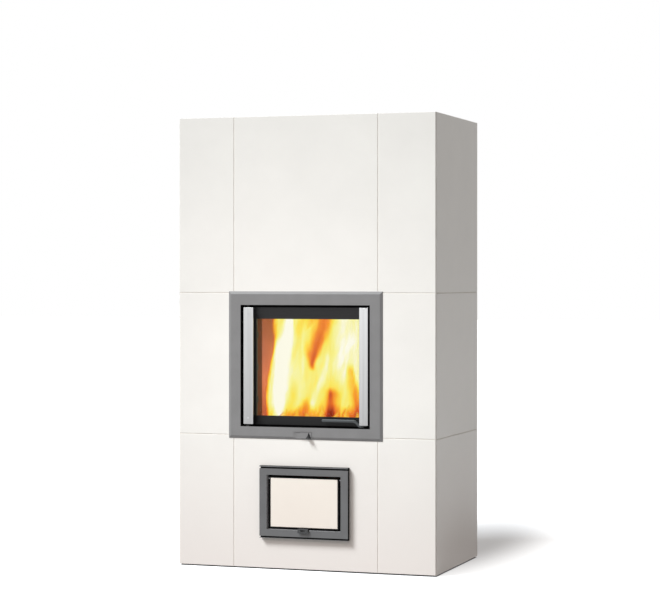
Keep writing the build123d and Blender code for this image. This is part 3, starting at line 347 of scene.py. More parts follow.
# Firebrick, in metres: size and depth of its speckles, size of the clouds of soot, and the heights between
# which the soot thickens
BRICK_SPECKLE = 0.004
BRICK_RELIEF = 0.0006
SOOT_CLOUD = 0.12
SOOT_HEIGHTS = (0.46, 0.9)
JAMB_SHADE = 0.3  # how pale the jambs are beside the other bricks, with their soot and a painted shade


def firebrick(name, settings, shade):
    """Chamotte with speckles, and soot in clouds that thicken upwards."""
    material, tree, shader = finish_material(name, {"Roughness": 0.9, "Specular IOR Level": 0.2})
    speckle = grain(tree, BRICK_SPECKLE, 5.0, roughness=0.7)
    brick = scaled(settings.firebrick, shade)
    body = blend_colours(tree, speckle, [(0.32, scaled(brick, 0.72)), (0.7, scaled(brick, 1.2))])
    cloud = spread(tree, grain(tree, SOOT_CLOUD, 4.0, roughness=0.6), -0.5, 0.5)
    soot_and_shade = combine(tree, "ADD", spread(tree, position(tree)["Z"], -0.25, 0.78, SOOT_HEIGHTS), cloud)
    share = spread(tree, soot_and_shade, 0.0, 0.8)
    tree.links.new(mix_colours(tree, share, body, opaque(settings.soot_and_shade)), shader.inputs["Base Color"])
    relief(tree, shader, speckle, BRICK_RELIEF)
    return material


def inside_opening(tree, frame_name, door, gap, depth):
    """1 on the faces of a frame's opening beyond a depth, else 0; the door fills it up to a gap."""
    low, high = node_box(door)
    front = node_box(frame_name)[0].y
    place = position(tree)
    reach = combine(tree, "ABSOLUTE", place["X"], 0.0)
    shares = [
        combine(tree, "LESS_THAN", reach, high.x + gap),
        combine(tree, "GREATER_THAN", place["Z"], low.z - gap),
        combine(tree, "LESS_THAN", place["Z"], high.z + gap),
        combine(tree, "GREATER_THAN", place["Y"], front + depth),
    ]
    across = combine(tree, "MULTIPLY", shares[0], shares[3])
    return combine(tree, "MULTIPLY", across, combine(tree, "MULTIPLY", shares[1], shares[2]))


def beyond(tree, axis, plane):
    """1 where a surface lies further along the axis than the plane, else 0."""
    return combine(tree, "GREATER_THAN", position(tree)[axis], plane)


# Where the coats of soot, painted shade, painted light and a painted highlight start on the castings, in
# metres
FIRE_GAP = 0.0105  # a little more than the gap between the fire door's leaf and its frame
FIRE_FLANK = 0.0005  # how far behind the fire door frame's face its flanks start
ASH_GAP = 0.009  # a little more than the gap between the ash door and its frame
ASH_FLANK = 0.0008  # how far behind the ash door frame's face its flanks start
ASH_REVEAL = 0.021  # how deep the lacquer with painted light reaches into that frame's opening
FOOT_FACE = 0.0002  # how far in front of the fire door frame's face the air control's foot ends
RAIL_HIGH = 0.0283  # height of the leaf's lower rail, which has a painted shade
LEVER_EDGE = 0.0192  # height over the leaf's foot at which the painted highlight along the lever's upper edge starts


def fire_frame_opening(tree):
    """1 on the faces of the opening in the fire door's frame, which get soot and painted shade, else 0."""
    return inside_opening(tree, "fire_door_frame", "fire_door_leaf", FIRE_GAP, FIRE_FLANK)


def ash_frame_flanks(tree):
    """1 on all of the ash door frame behind its front face, which gets painted shade, else 0."""
    return beyond(tree, "Y", node_box("ash_door_frame")[0].y + ASH_FLANK)


def ash_frame_reveal(tree):
    """1 on the outer part of the ash door frame's inner flanks, which get painted light, else 0."""
    names = ("ash_door_frame", "ash_door_leaf", ASH_GAP)
    inside = inside_opening(tree, *names, ASH_FLANK)
    return combine(tree, "SUBTRACT", inside, inside_opening(tree, *names, ASH_REVEAL))


def control_foot(tree):
    """1 on the air control's foot, which lies in the recess of the fire door's frame, else 0."""
    return beyond(tree, "Y", node_box("fire_door_frame")[0].y - FOOT_FACE)


def leaf_above_rail(tree):
    """1 on the fire door's leaf above its lower rail, else 0; the rail keeps a painted shade."""
    return beyond(tree, "Z", node_box("fire_door_leaf")[0].z + RAIL_HIGH)


def lever_upper_edge(tree):
    """1 along the lever's upper edge, which gets a painted highlight, else 0."""
    return beyond(tree, "Z", node_box("fire_door_leaf")[0].z + LEVER_EDGE)


LACQUER_CLOUD = 0.06  # size of the faint clouds in the lacquer, in metres


def lacquered_iron(name, colour, settings, roughness, gloss, coats):
    """Stove lacquer with a fine grain and faint clouds; each coat is a mask, a colour and a gloss."""
    material, tree, shader = finish_material(name, {"Specular IOR Level": gloss})
    fine = grain(tree, settings.casting_grain, 3.0, roughness=0.6)
    cloud = grain(tree, LACQUER_CLOUD, 3.0)
    lacquer = mottled(tree, mingled(tree, fine, cloud, 0.5), colour, 0.1)
    shine = gloss
    for mask, coat, coat_gloss in coats:
        share = mask(tree)
        lacquer = mix_colours(tree, share, lacquer, opaque(coat))
        if coat_gloss != shine:
            shine = spread(tree, share, shine, coat_gloss)
    if shine != gloss:
        tree.links.new(shine, shader.inputs["Specular IOR Level"])
    tree.links.new(lacquer, shader.inputs["Base Color"])
    tree.links.new(spread(tree, fine, roughness - 0.06, roughness + 0.08), shader.inputs["Roughness"])
    relief(tree, shader, fine, settings.casting_depth)
    return material


# Bare steels: hairlines per metre along each axis, roughness, and contrast of the colour
STEELS = {
    "strip_steel": ((900, 900, 4), 0.3, 0.16),
    "zinc_sheet": ((60, 400, 60), 0.4, 0.08),
    "turned_steel": ((300, 300, 900), 0.3, 0.08),
}
HAIR_DEPTH = 0.00002
WIDE_HAIRS = 0.12  # density of the wide hairlines beside that of the fine ones


def brushed_steel(name, colour, kind, fall=0.0):
    """Bare steel with hairlines along one axis, and with a fall a painted shade, darker towards the bottom of
    the fire door.
    """
    stretch, roughness, contrast = STEELS[kind]
    material, tree, shader = finish_material(name, {"Metallic": 1.0})
    hairs = grain(tree, 1.0, 3.0, vector=stretched(tree, stretch), roughness=0.7)
    wide = grain(tree, 1.0, 1.0, vector=stretched(tree, tuple(s * WIDE_HAIRS for s in stretch)))
    body = mottled(tree, mingled(tree, hairs, wide, 0.55), colour, contrast)
    # On the strips: a painted shade towards the bottom
    if fall:
        low, high = node_box("fire_door_leaf")
        shade = spread(tree, position(tree)["Z"], fall, 0.0, (low.z, high.z))
        body = mix_colours(tree, shade, body, (0, 0, 0, 1))
    tree.links.new(body, shader.inputs["Base Color"])
    tree.links.new(spread(tree, hairs, roughness - 0.07, roughness + 0.1), shader.inputs["Roughness"])
    relief(tree, shader, hairs, HAIR_DEPTH)
    return material


ROPE_STRANDS = 140.0  # scale of the waves that make the strands
ROPE_RELIEF = 0.0008


def woven_rope(colour):
    """Glass-fibre rope: crossing strands."""
    material, tree, shader = finish_material("woven_rope", {"Roughness": 0.95, "Specular IOR Level": 0.1})
    strands = []
    for direction in ("X", "DIAGONAL"):
        inputs = {"Vector": stretched(tree), "Scale": ROPE_STRANDS, "Distortion": 1.5}
        strands.append(node(tree, "TexWave", inputs, bands_direction=direction).outputs["Fac"])
    weave = combine(tree, "MULTIPLY", strands[0], strands[1])
    colours = [(0.0, scaled(colour, 0.5)), (1.0, scaled(colour, 1.6))]
    tree.links.new(blend_colours(tree, weave, colours), shader.inputs["Base Color"])
    relief(tree, shader, weave, ROPE_RELIEF)
    return material


GLASS_HAZE = 0.03  # size of the pane's unevenness, in metres
GLASS_RELIEF = 0.000004


def clear_glass(colour):
    """Glass ceramic, with the faintest unevenness."""
    inputs = {
        "Base Color": opaque(colour),
        "Transmission Weight": 1.0,
        "IOR": 1.47,
        "Specular IOR Level": 0.05,
        "Specular Tint": (0.08, 0.08, 0.08, 1.0),
    }
    material, tree, shader = finish_material("glass_ceramic", inputs)
    haze = grain(tree, GLASS_HAZE, 2.0)
    tree.links.new(spread(tree, haze, 0.0, 0.02), shader.inputs["Roughness"])
    relief(tree, shader, haze, GLASS_RELIEF)
    return material


# The fire

# Colours of the fire by its heat, from 0 to 1
HEAT_COLOURS = [
    (0.0, (0.1, 0.006, 0.003)),
    (0.15, (0.305, 0.026, 0.008)),
    (0.28, (0.7, 0.11, 0.02)),
    (0.42, (0.9, 0.27, 0.026)),
    (0.55, (0.965, 0.52, 0.04)),
    (0.68, (0.965, 0.8, 0.1)),
    (0.8, (0.935, 0.89, 0.26)),
    (0.9, (0.94, 0.925, 0.45)),
    (1.0, (0.985, 0.985, 0.85)),
]

# Slanting bands in the sheets of fire. Each has a foot and a head, both as a place across, a height and a
# half width in metres, and the heat that it adds or takes
STREAMS = [
    ((-0.136, 0.47, 0.028), (-0.104, 0.8, 0.036), 0.4),
    ((-0.022, 0.646, 0.016), (0.014, 0.8, 0.078), -0.5),
    ((-0.023, 0.52, 0.018), (0.031, 0.66, 0.012), 0.18),
    ((0.08, 0.6, 0.05), (0.1, 0.8, 0.08), 0.1),
    ((0.03, 0.46, 0.05), (0.04, 0.548, 0.036), -0.5),
    ((0.13, 0.46, 0.066), (0.106, 0.625, 0.012), -0.36),
    ((-0.07, 0.46, 0.09), (-0.055, 0.515, 0.03), -0.22),
]
STREAM_END = 0.03  # a band fades over this length beyond its foot and its head
EDGE_FOOT = (-0.2, 0.5)  # the left rim of the front sheet, low down: place across and height
EDGE_HEAD = (-0.16, 0.72)  # and high up
FIRE_WARMTH = 0.8  # heat of the sheets before bands and streaks
FIRE_LEAN = 0.16  # how far the streaks lean to the right, per metre of height
COOL_FOOT = (0.468, 0.52)  # the sheets cool down between these heights, towards the logs
# Patches and streaks: size across in metres, its share of the size upwards, and the heat they add or take
FIRE_PATCH = (0.045, 0.32, 0.12)
FIRE_STREAK = (0.014, 0.2, 0.06)
MOST_GRAIN = (0.3, 0.7)  # most of a grain's values lie in this range
# Waves in the fire: size in metres, and how far they push the bands and the ragged rim to the side
SLOW_WAVE = 0.09
SLOW_SWAY = 0.022
RIM_SWAY = 0.009
QUICK_WAVE = 0.022
QUICK_SWAY = 0.006


def stream(tree, across, height, foot, head, strength):
    """Heat of one slanting band, full in its middle and none at its rims and ends."""
    span = (foot[1], head[1])
    middle = spread(tree, height, foot[0], head[0], span)
    half = spread(tree, height, foot[2], head[2], span)
    away = combine(tree, "ABSOLUTE", combine(tree, "SUBTRACT", across, middle), 0.0)
    heat = spread(tree, combine(tree, "DIVIDE", away, half), strength, 0.0, smooth=True)
    rise = spread(tree, height, 0.0, 1.0, (foot[1] - STREAM_END, foot[1]), smooth=True)
    fall = spread(tree, height, 1.0, 0.0, (head[1], head[1] + STREAM_END), smooth=True)
    return combine(tree, "MULTIPLY", heat, combine(tree, "MULTIPLY", rise, fall))


def wavering(tree, offset, sway):
    """Place across and height in the fire, with the place across pushed about by slow and quick waves."""
    place = position(tree)
    shifted = stretched(tree, (1, 1, 0.45), offset=offset)
    slow = spread(tree, grain(tree, SLOW_WAVE, 2.0, vector=shifted), -sway, sway)
    quick = spread(tree, grain(tree, QUICK_WAVE, 2.0, vector=shifted), -QUICK_SWAY, QUICK_SWAY)
    across = combine(tree, "ADD", place["X"], combine(tree, "ADD", slow, quick))
    return across, place["Z"]


def upright_grain(tree, flow, measures, detail, roughness):
    """Heat of patches or streaks that are drawn out upwards."""
    size, squeeze, heat = measures
    drawn = node(tree, "Mapping", {"Vector": flow, "Scale": (1.0, 1.0, squeeze)}).outputs["Vector"]
    made = grain(tree, size, detail, vector=drawn, roughness=roughness)
    return spread(tree, made, -heat, heat, MOST_GRAIN)


def glowing(name, glow):
    """A finish that only glows, with its tree and shader."""
    inputs = {
        "Base Color": (0, 0, 0, 1),
        "Roughness": 1.0,
        "Specular IOR Level": 0.0,
        "Emission Strength": glow,
    }
    return finish_material(name, inputs)


def fire_sheet(name, glow, offset, edged):
    """A sheet of fire: streaks that rise and lean, hot and cool bands, and a ragged left rim if edged."""
    material, tree, shader = glowing(name, glow)
    across, height = wavering(tree, offset, SLOW_SWAY)
    leaning = combine(tree, "SUBTRACT", across, combine(tree, "MULTIPLY", height, FIRE_LEAN))
    flow = node(tree, "CombineXYZ", {"X": leaning, "Y": offset, "Z": height}).outputs["Vector"]
    patches = upright_grain(tree, flow, FIRE_PATCH, 3.0, 0.45)
    streaks = upright_grain(tree, flow, FIRE_STREAK, 2.0, 0.5)
    heat = combine(tree, "ADD", combine(tree, "ADD", patches, streaks), FIRE_WARMTH)
    for foot, head, strength in STREAMS:
        heat = combine(tree, "ADD", heat, stream(tree, across, height, foot, head, strength))
    heat = combine(tree, "ADD", heat, spread(tree, height, -0.3, 0.0, COOL_FOOT))
    if edged:
        cover = spread(tree, heat, 0.6, 1.0, (0.05, 0.3))
        rim = spread(tree, height, EDGE_FOOT[0], EDGE_HEAD[0], (EDGE_FOOT[1], EDGE_HEAD[1]), smooth=True)
        inward = combine(tree, "SUBTRACT", wavering(tree, offset, RIM_SWAY)[0], rim)
        heat = combine(tree, "ADD", heat, spread(tree, inward, -0.55, 0.0, (0.0, 0.02)))
        inside = spread(tree, inward, 0.0, 1.0, (0.0, 0.012), smooth=True)
        cover = combine(tree, "MULTIPLY", cover, inside)
        tree.links.new(cover, shader.inputs["Alpha"])
    tree.links.new(blend_colours(tree, heat, HEAT_COLOURS), shader.inputs["Emission Color"])
    return material


TONGUE_HEAT = 0.44  # heat of the small flames before their core and streaks
TONGUE_COVER = 0.7  # how much they hide at their cores
TONGUE_STREAK = 0.012  # size of their streaks, in metres


def tongue_finish(name, glow):
    """Small flames: u runs across a tongue and v up it; its core is hottest and its rims fade."""
    material, tree, shader = glowing(name, glow)
    place = node(tree, "SeparateXYZ", {"Vector": stretched(tree, kind="UV")})
    u, v = place.outputs["X"], place.outputs["Y"]
    doubled = combine(tree, "MULTIPLY", u, 2.0)
    side = combine(tree, "ABSOLUTE", combine(tree, "SUBTRACT", doubled, 1.0), 0.0)
    streaks = grain(tree, TONGUE_STREAK, 3.0, vector=stretched(tree, (1.0, 1.0, 0.4)), distortion=0.6)
    lick = spread(tree, streaks, -0.16, 0.16, MOST_GRAIN)
    core = spread(tree, side, 0.16, -0.12)
    rise = spread(tree, v, -0.12, 0.12)
    body = combine(tree, "ADD", lick, TONGUE_HEAT)
    warmth = combine(tree, "ADD", combine(tree, "ADD", core, rise), body)
    tree.links.new(blend_colours(tree, warmth, HEAT_COLOURS), shader.inputs["Emission Color"])
    ragged = combine(tree, "ADD", side, lick)
    rim = spread(tree, ragged, 1.0, 0.0, (0.1, 0.95), smooth=True)
    tip = spread(tree, combine(tree, "ADD", v, lick), 1.0, 0.0, (0.4, 0.95), smooth=True)
    solid = combine(tree, "MULTIPLY", combine(tree, "MULTIPLY", rim, tip), TONGUE_COVER)
    tree.links.new(solid, shader.inputs["Alpha"])
    return material


# Charred finishes: size of their lumps in metres, colour, and how far the glow spreads over the lumps
CHARS = {
    "charred_bark": (0.02, (0.05, 0.03, 0.02), 0.25),
    "glowing_ash": (0.012, (0.09, 0.07, 0.06), 0.42),
}


def ember_finish(name, glow):
    """Charred wood or ash with glowing cracks."""
    size, dark, share = CHARS[name]
    inputs = {"Roughness": 0.95, "Specular IOR Level": 0.1, "Emission Strength": glow}
    material, tree, shader = finish_material(name, inputs)
    lumps = grain(tree, size, 4.0, roughness=0.7, distortion=0.8)
    char = blend_colours(tree, lumps, [(0.35, scaled(dark, 0.5)), (0.7, scaled(dark, 1.8))])
    tree.links.new(char, shader.inputs["Base Color"])
    heat = spread(tree, lumps, 0.55, 0.0, (0.3, 0.3 + share))
    tree.links.new(blend_colours(tree, heat, HEAT_COLOURS[:6]), shader.inputs["Emission Color"])
    relief(tree, shader, lumps, 0.003)
    return material


def new_piece(name, build, material):
    """A smooth mesh piece from a function that fills a bmesh; it rides on the fixed body."""
    mesh = bpy.data.meshes.new(name)
    form = bmesh.new()
    build(form)
    bmesh.ops.recalc_face_normals(form, faces=form.faces)
    form.to_mesh(mesh)
    form.free()
    for face in mesh.polygons:
        face.use_smooth = True
    piece = placed(name, mesh)
    mesh.materials.append(material)
    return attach(piece, "root")


def skin(form, rings, caps):
    """Join rings of vertices into a closed body, with one vertex at each end."""
    faces = []
    for low, high in zip(rings, rings[1:]):
        for index in range(len(low)):
            after = (index + 1) % len(low)
            faces.append(form.faces.new((low[index], low[after], high[after], high[index])))
    for ring, cap in ((rings[0], caps[0]), (rings[-1], caps[1])):
        for index in range(len(ring)):
            faces.append(form.faces.new((ring[index], ring[(index + 1) % len(ring)], cap)))
    return faces


TONGUE_RINGS = 18
TONGUE_SIDES = 16
TONGUE_SLIM = 0.5  # depth of a tongue beside its width
TONGUE_SWAY = (0.06, 0.16)  # least and most that it wavers, beside its width
TONGUE_TURN = 12  # degrees that it is turned at most


def add_tongue(form, draw, foot, height, width, lean):
    """One flame: a closed tongue that swells low down, leans and wavers up to its tip."""
    layer = form.loops.layers.uv.verify()
    phase = draw.uniform(0, 2 * math.pi)
    sway = width * draw.uniform(*TONGUE_SWAY)
    turn = math.radians(draw.uniform(-TONGUE_TURN, TONGUE_TURN))
    unrolled = {}
    rings = []

    def centre(t):
        wave = math.sin(phase + t * 5.2) * sway * t
        return Vector((foot[0] + lean * t + wave, foot[1] + wave * 0.4, foot[2] + height * t))

    for step in range(TONGUE_RINGS):
        t = (step + 0.35) / TONGUE_RINGS
        swell = 0.62 + 0.5 * math.sin(math.pi * min(1.0, t * 1.7))
        reach = width / 2 * swell * (1 - t**2.2) ** 0.85
        middle = centre(t)
        ring = []
        for side in range(TONGUE_SIDES):
            angle = 2 * math.pi * side / TONGUE_SIDES
            x = math.cos(angle) * reach
            y = math.sin(angle) * reach * TONGUE_SLIM
            across = x * math.cos(turn) - y * math.sin(turn)
            deep = x * math.sin(turn) + y * math.cos(turn)
            vertex = form.verts.new(middle + Vector((across, deep, 0)))
            unrolled[vertex] = (0.5 + 0.5 * math.cos(angle), t)
            ring.append(vertex)
        rings.append(ring)
    caps = [form.verts.new(centre(0.0)), form.verts.new(centre(1.0))]
    unrolled[caps[0]] = (0.5, 0.0)
    unrolled[caps[1]] = (0.5, 1.0)
    for face in skin(form, rings, caps):
        for loop in face.loops:
            loop[layer].uv = unrolled[loop.vert]


# Each flame: place across and in depth, height of its foot over the hearth, height, width, lean (metres)
LOW_FLAMES = [
    (-0.118, -0.139, 0.0, 0.05, 0.05, 0.012),
    (-0.07, -0.135, 0.0, 0.068, 0.04, 0.01),
    (-0.03, -0.139, 0.0, 0.046, 0.05, 0.0),
    (0.01, -0.136, 0.0, 0.07, 0.044, 0.012),
    (0.062, -0.139, 0.0, 0.05, 0.05, 0.006),
    (0.1, -0.135, 0.0, 0.074, 0.042, 0.006),
    (0.142, -0.138, 0.0, 0.052, 0.044, -0.006),
]


def flames_form(form, draw, floor):
    """The low flames, side by side."""
    for x, y, lift, height, width, lean in LOW_FLAMES:
        add_tongue(form, draw, (x, y, floor + lift), height, width, lean)


LOG_RINGS = 22
LOG_SIDES = 20
# Shares of a log's radius: what it loses from its start to its end, how far its ends bulge, its slow
# unevenness, its bark, and what its split side lacks
LOG_TAPER = 0.12
LOG_BULGE = 0.12
LOG_WOBBLE = 0.2
LOG_BARK = 0.09
LOG_SPLIT = 0.3


def log_form(form, draw, start, end, radius):
    """A split log between two points: uneven, thicker at its start, with bulging ends."""
    along = Vector(end) - Vector(start)
    across = along.cross(Vector((0, 0, 1))).normalized()
    upward = across.cross(along).normalized()
    offset = draw.uniform(0, 50)
    rings = []
    for step in range(LOG_RINGS + 1):
        t = step / LOG_RINGS
        middle = Vector(start) + along * t
        ring = []
        for side in range(LOG_SIDES):
            angle = 2 * math.pi * side / LOG_SIDES
            out = across * math.cos(angle) + upward * math.sin(angle)
            wobble = noise.noise(out * 1.3 + Vector((offset, t * 2.2, 0))) * LOG_WOBBLE
            furrow = Vector((math.cos(angle) * 5, math.sin(angle) * 5, offset + t * 9))
            bark = noise.noise(furrow) * LOG_BARK
            split = LOG_SPLIT * max(0.0, math.cos(angle - offset)) ** 3
            place = middle + out * radius * (1 + wobble + bark - split) * (1 - LOG_TAPER * t)
            ring.append(form.verts.new(place))
        rings.append(ring)
    bulge = along.normalized() * radius * LOG_BULGE
    caps = [form.verts.new(Vector(start) - bulge), form.verts.new(Vector(end) + bulge)]
    skin(form, rings, caps)


# Each log: start, end and radius, with heights over the foot of the fire (metres)
LOGS = [
    ((-0.16, -0.04, 0.027), (0.1, -0.015, 0.03), 0.026),
    ((-0.05, 0.035, 0.03), (0.16, -0.05, 0.028), 0.027),
    ((-0.13, 0.06, 0.028), (0.14, 0.05, 0.03), 0.027),
    ((-0.1, -0.01, 0.074), (0.09, 0.03, 0.076), 0.024),
]


def shell(form, first, second, turn):
    """Close two grids of vertices into a body; with the turn -1 the first one's faces run the other way."""
    rows, columns = len(first) - 1, len(first[0]) - 1
    for row in range(rows):
        for column in range(columns):
            for grid, step in ((first, turn), (second, 1)):
                low, high = grid[row], grid[row + 1]
                corners = (low[column], low[column + 1], high[column + 1], high[column])
                form.faces.new(corners[::step])
    rim = [(0, c) for c in range(columns)] + [(r, columns) for r in range(rows)]
    rim += [(rows, c) for c in range(columns, 0, -1)] + [(r, 0) for r in range(rows, 0, -1)]
    for (r0, c0), (r1, c1) in zip(rim, rim[1:] + rim[:1]):
        form.faces.new((first[r0][c0], first[r1][c1], second[r1][c1], second[r0][c0]))


# The heap of embers: its columns and rows, and where its sides, front and back lie, in metres
EMBER_COLUMNS = 60
EMBER_ROWS = 40
EMBER_SIDE = 0.178
EMBER_FRONT = -0.128
EMBER_REAR = 0.1
EMBER_RIM = 7  # the heap rises over this many columns from its edge
EMBER_EDGE = 0.0006  # its height at the edge
EMBER_HEIGHT = 0.004  # what its inner part has more than that, before its lumps
# Its lumps and its grit: how many to a metre, start of their noise, and height
EMBER_LUMPS = ((55, 3.0, 0.011), (150, 8.0, 0.005))


def ember_form(form, floor):
    """A low heap of embers on the hearth, closed underneath."""
    top, base = [], []
    for row in range(EMBER_ROWS + 1):
        y = EMBER_FRONT + (EMBER_REAR - EMBER_FRONT) * row / EMBER_ROWS
        top.append([])
        base.append([])
        for column in range(EMBER_COLUMNS + 1):
            x = -EMBER_SIDE + 2 * EMBER_SIDE * column / EMBER_COLUMNS
            edge = min(column, EMBER_COLUMNS - column, row * 1.4, (EMBER_ROWS - row) * 1.4) / EMBER_RIM
            rim = min(1.0, edge)
            height = EMBER_HEIGHT
            for rate, start, high in EMBER_LUMPS:
                height += high * (0.5 + 0.5 * noise.noise(Vector((x * rate, y * rate, start))))
            z = floor + EMBER_EDGE + rim * height
            top[-1].append(form.verts.new((x, y, z)))
            base[-1].append(form.verts.new((x, y, floor)))
    shell(form, base, top, -1)


# A sheet of fire: its columns and rows, and its half width and thickness in metres
SHEET_COLUMNS = 72
SHEET_ROWS = 40
SHEET_HALF = 0.188
SHEET_THICK = 0.006
# Its folds: depth in metres, how quickly they follow each other across, and how they lean with height
SHEET_FOLDS = ((0.012, 58, 2.4), (0.006, 131, -4.0))


def curtain_form(form, foot, top, depth):
    """A wall of flame: a thin closed sheet with gentle upright folds."""
    sheets = []
    for back in (0, 1):
        grid = []
        for row in range(SHEET_ROWS + 1):
            v = row / SHEET_ROWS
            line = []
            for column in range(SHEET_COLUMNS + 1):
                x = -SHEET_HALF + 2 * SHEET_HALF * column / SHEET_COLUMNS
                fold = sum(deep * math.sin(x * rate + v * lean) for deep, rate, lean in SHEET_FOLDS)
                y = depth + fold + back * SHEET_THICK
                line.append(form.verts.new((x, y, foot + (top - foot) * v)))
            grid.append(line)
        sheets.append(grid)
    shell(form, *sheets, 1)


# Operators: one for each group of like pieces, and one for the stage


class STOVE_OT_dress_tiles(Operator):
    """Give the tiles, joints and rear slabs their finish"""

    bl_idname = "stove.dress_tiles"
    bl_label = "Tiles"

    def execute(self, context):
        settings = context.scene.stove_tiles
        dress(GLAZED, glaze("white_glaze", settings, settings.glaze))
        dress(["ash_door_tile"], glaze("insert_glaze", settings, settings.insert))
        dress(["tile_joint_mortar"], gritty("joint_mortar", settings.mortar))
        dress(["rear_slabs"], gritty("rear_render", settings.render))
        return {"FINISHED"}


class STOVE_OT_dress_core(Operator):
    """Give the storage core, the bricks, the board and the seals their finish"""

    bl_idname = "stove.dress_core"
    bl_label = "Core and firebox"

    def execute(self, context):
        settings = context.scene.stove_core
        dress(CONCRETE, gritty("storage_concrete", settings.concrete))
        dress(["top_insulation"], gritty("insulation_board", settings.board))
        dress(FIREBRICK, firebrick("firebrick", settings, 1.0))
        # The jambs: soot and a painted shade
        dress(["firebox_jambs"], firebrick("soot_and_shade_firebrick", settings, JAMB_SHADE))
        dress(ROPE, woven_rope(settings.rope))
        return {"FINISHED"}


# Gloss of the satin lacquers and of the coat of soot and painted shade, which has next to none
SATIN = 0.45
DEAD = 0.05
# Shares of the lacquer colours for the coats: soot and painted shade, painted light, painted shade, painted
# highlight
SOOT_AND_SHADE_SHARE = 0.3
PAINTED_REVEAL_LIGHT = 3.0
PAINTED_RAIL_SHADE = 0.4
PAINTED_LEVER_HIGHLIGHT = 3.2


class STOVE_OT_dress_iron(Operator):
    """Give the frames, the door leaf, the lever and the sheet parts their lacquer"""

    bl_idname = "stove.dress_iron"
    bl_label = "Iron"

    def execute(self, context):
        settings = context.scene.stove_metal
        # A near-black coat of soot and painted shade for the openings, the ash frame's flanks and the ash
        # door
        soot_and_shade = settings.sheet * SOOT_AND_SHADE_SHARE
        # Painted light on the ash door frame's reveal
        painted_reveal_light = scaled(settings.ash_iron, PAINTED_REVEAL_LIGHT)
        # Painted shade on the leaf's lower rail
        painted_rail_shade = scaled(settings.black_iron, PAINTED_RAIL_SHADE)
        # A painted highlight along the lever's upper edge
        painted_lever_highlight = scaled(settings.handle, PAINTED_LEVER_HIGHLIGHT)
        in_frame = [(fire_frame_opening, soot_and_shade, DEAD)]
        in_ash_frame = [(ash_frame_flanks, soot_and_shade, DEAD), (ash_frame_reveal, painted_reveal_light, SATIN)]
        on_foot = [(control_foot, settings.grey_iron, SATIN)]
        on_leaf = [(leaf_above_rail, settings.black_iron, 0.3)]
        on_lever = [(lever_upper_edge, painted_lever_highlight, SATIN)]
        # Nodes, name, colour, roughness, gloss and coats
        lacquers = [
            (["fire_door_frame"], "grey_iron", settings.grey_iron, 0.5, SATIN, in_frame),
            (["air_control_lever"], "control_iron", settings.fin, 0.5, SATIN, on_foot),
            (["ash_door_frame"], "ash_iron", settings.ash_iron, 0.5, SATIN, in_ash_frame),
            (["ash_door_pull"], "pull_iron", settings.pull, 0.45, SATIN, []),
            # Soot and painted shade on the ash door's tray, in the gap round its insert
            (["ash_door_leaf"], "soot_and_shade_sheet", soot_and_shade, 0.6, 0.1, []),
            (BLACK_IRON, "black_iron", settings.black_iron, 0.42, 0.3, []),
            (["fire_door_leaf"], "leaf_iron", painted_rail_shade, 0.42, 0.2, on_leaf),
            (["door_handle"], "lever_lacquer", settings.handle, 0.3, SATIN, on_lever),
            (BLACK_SHEET, "black_sheet", settings.sheet, 0.5, SATIN, []),
        ]
        for names, name, colour, roughness, gloss, coats in lacquers:
            dress(names, lacquered_iron(name, colour, settings, roughness, gloss, coats))
        return {"FINISHED"}


class STOVE_OT_dress_steel(Operator):
    """Give the strips, fixings, pins and screws their bare metal"""

    bl_idname = "stove.dress_steel"
    bl_label = "Steel"

    def execute(self, context):
        settings = context.scene.stove_metal
        # One steel for both strips, each with its own painted light and a painted shade at the bottom
        for name, (share, fall) in STRIPS_PAINTED_LIGHT.items():
            dress([name], brushed_steel(name, scaled(settings.steel, share), "strip_steel", fall))
        dress(ZINC_SHEET, brushed_steel("zinc_sheet", settings.zinc, "zinc_sheet"))
        dress(TURNED_STEEL, brushed_steel("turned_steel", settings.turned, "turned_steel"))
        return {"FINISHED"}


class STOVE_OT_dress_glass(Operator):
    """Give the door's pane its glass"""

    bl_idname = "stove.dress_glass"
    bl_label = "Glass"

    def execute(self, context):
        dress(["fire_door_glass"], clear_glass(context.scene.stove_core.glass))
        return {"FINISHED"}


# The fire over the hearth's floor, in metres
FIRE_FOOT = 0.006  # the logs' heights and the sheets of fire start here
FIRE_TOP = 0.43
# The sheets of fire: depth, start of their noise, and whether the left rim is ragged
SHEETS = {"flame_rear": (0.07, 5.0, False), "flame_front": (-0.105, 1.0, True)}
FIRE_LIGHT = (1.0, 0.6, 0.34)
FIRE_LIGHT_SIZE = 0.09
FIRE_LIGHT_PLACE = (0.0, -0.02, 0.17)


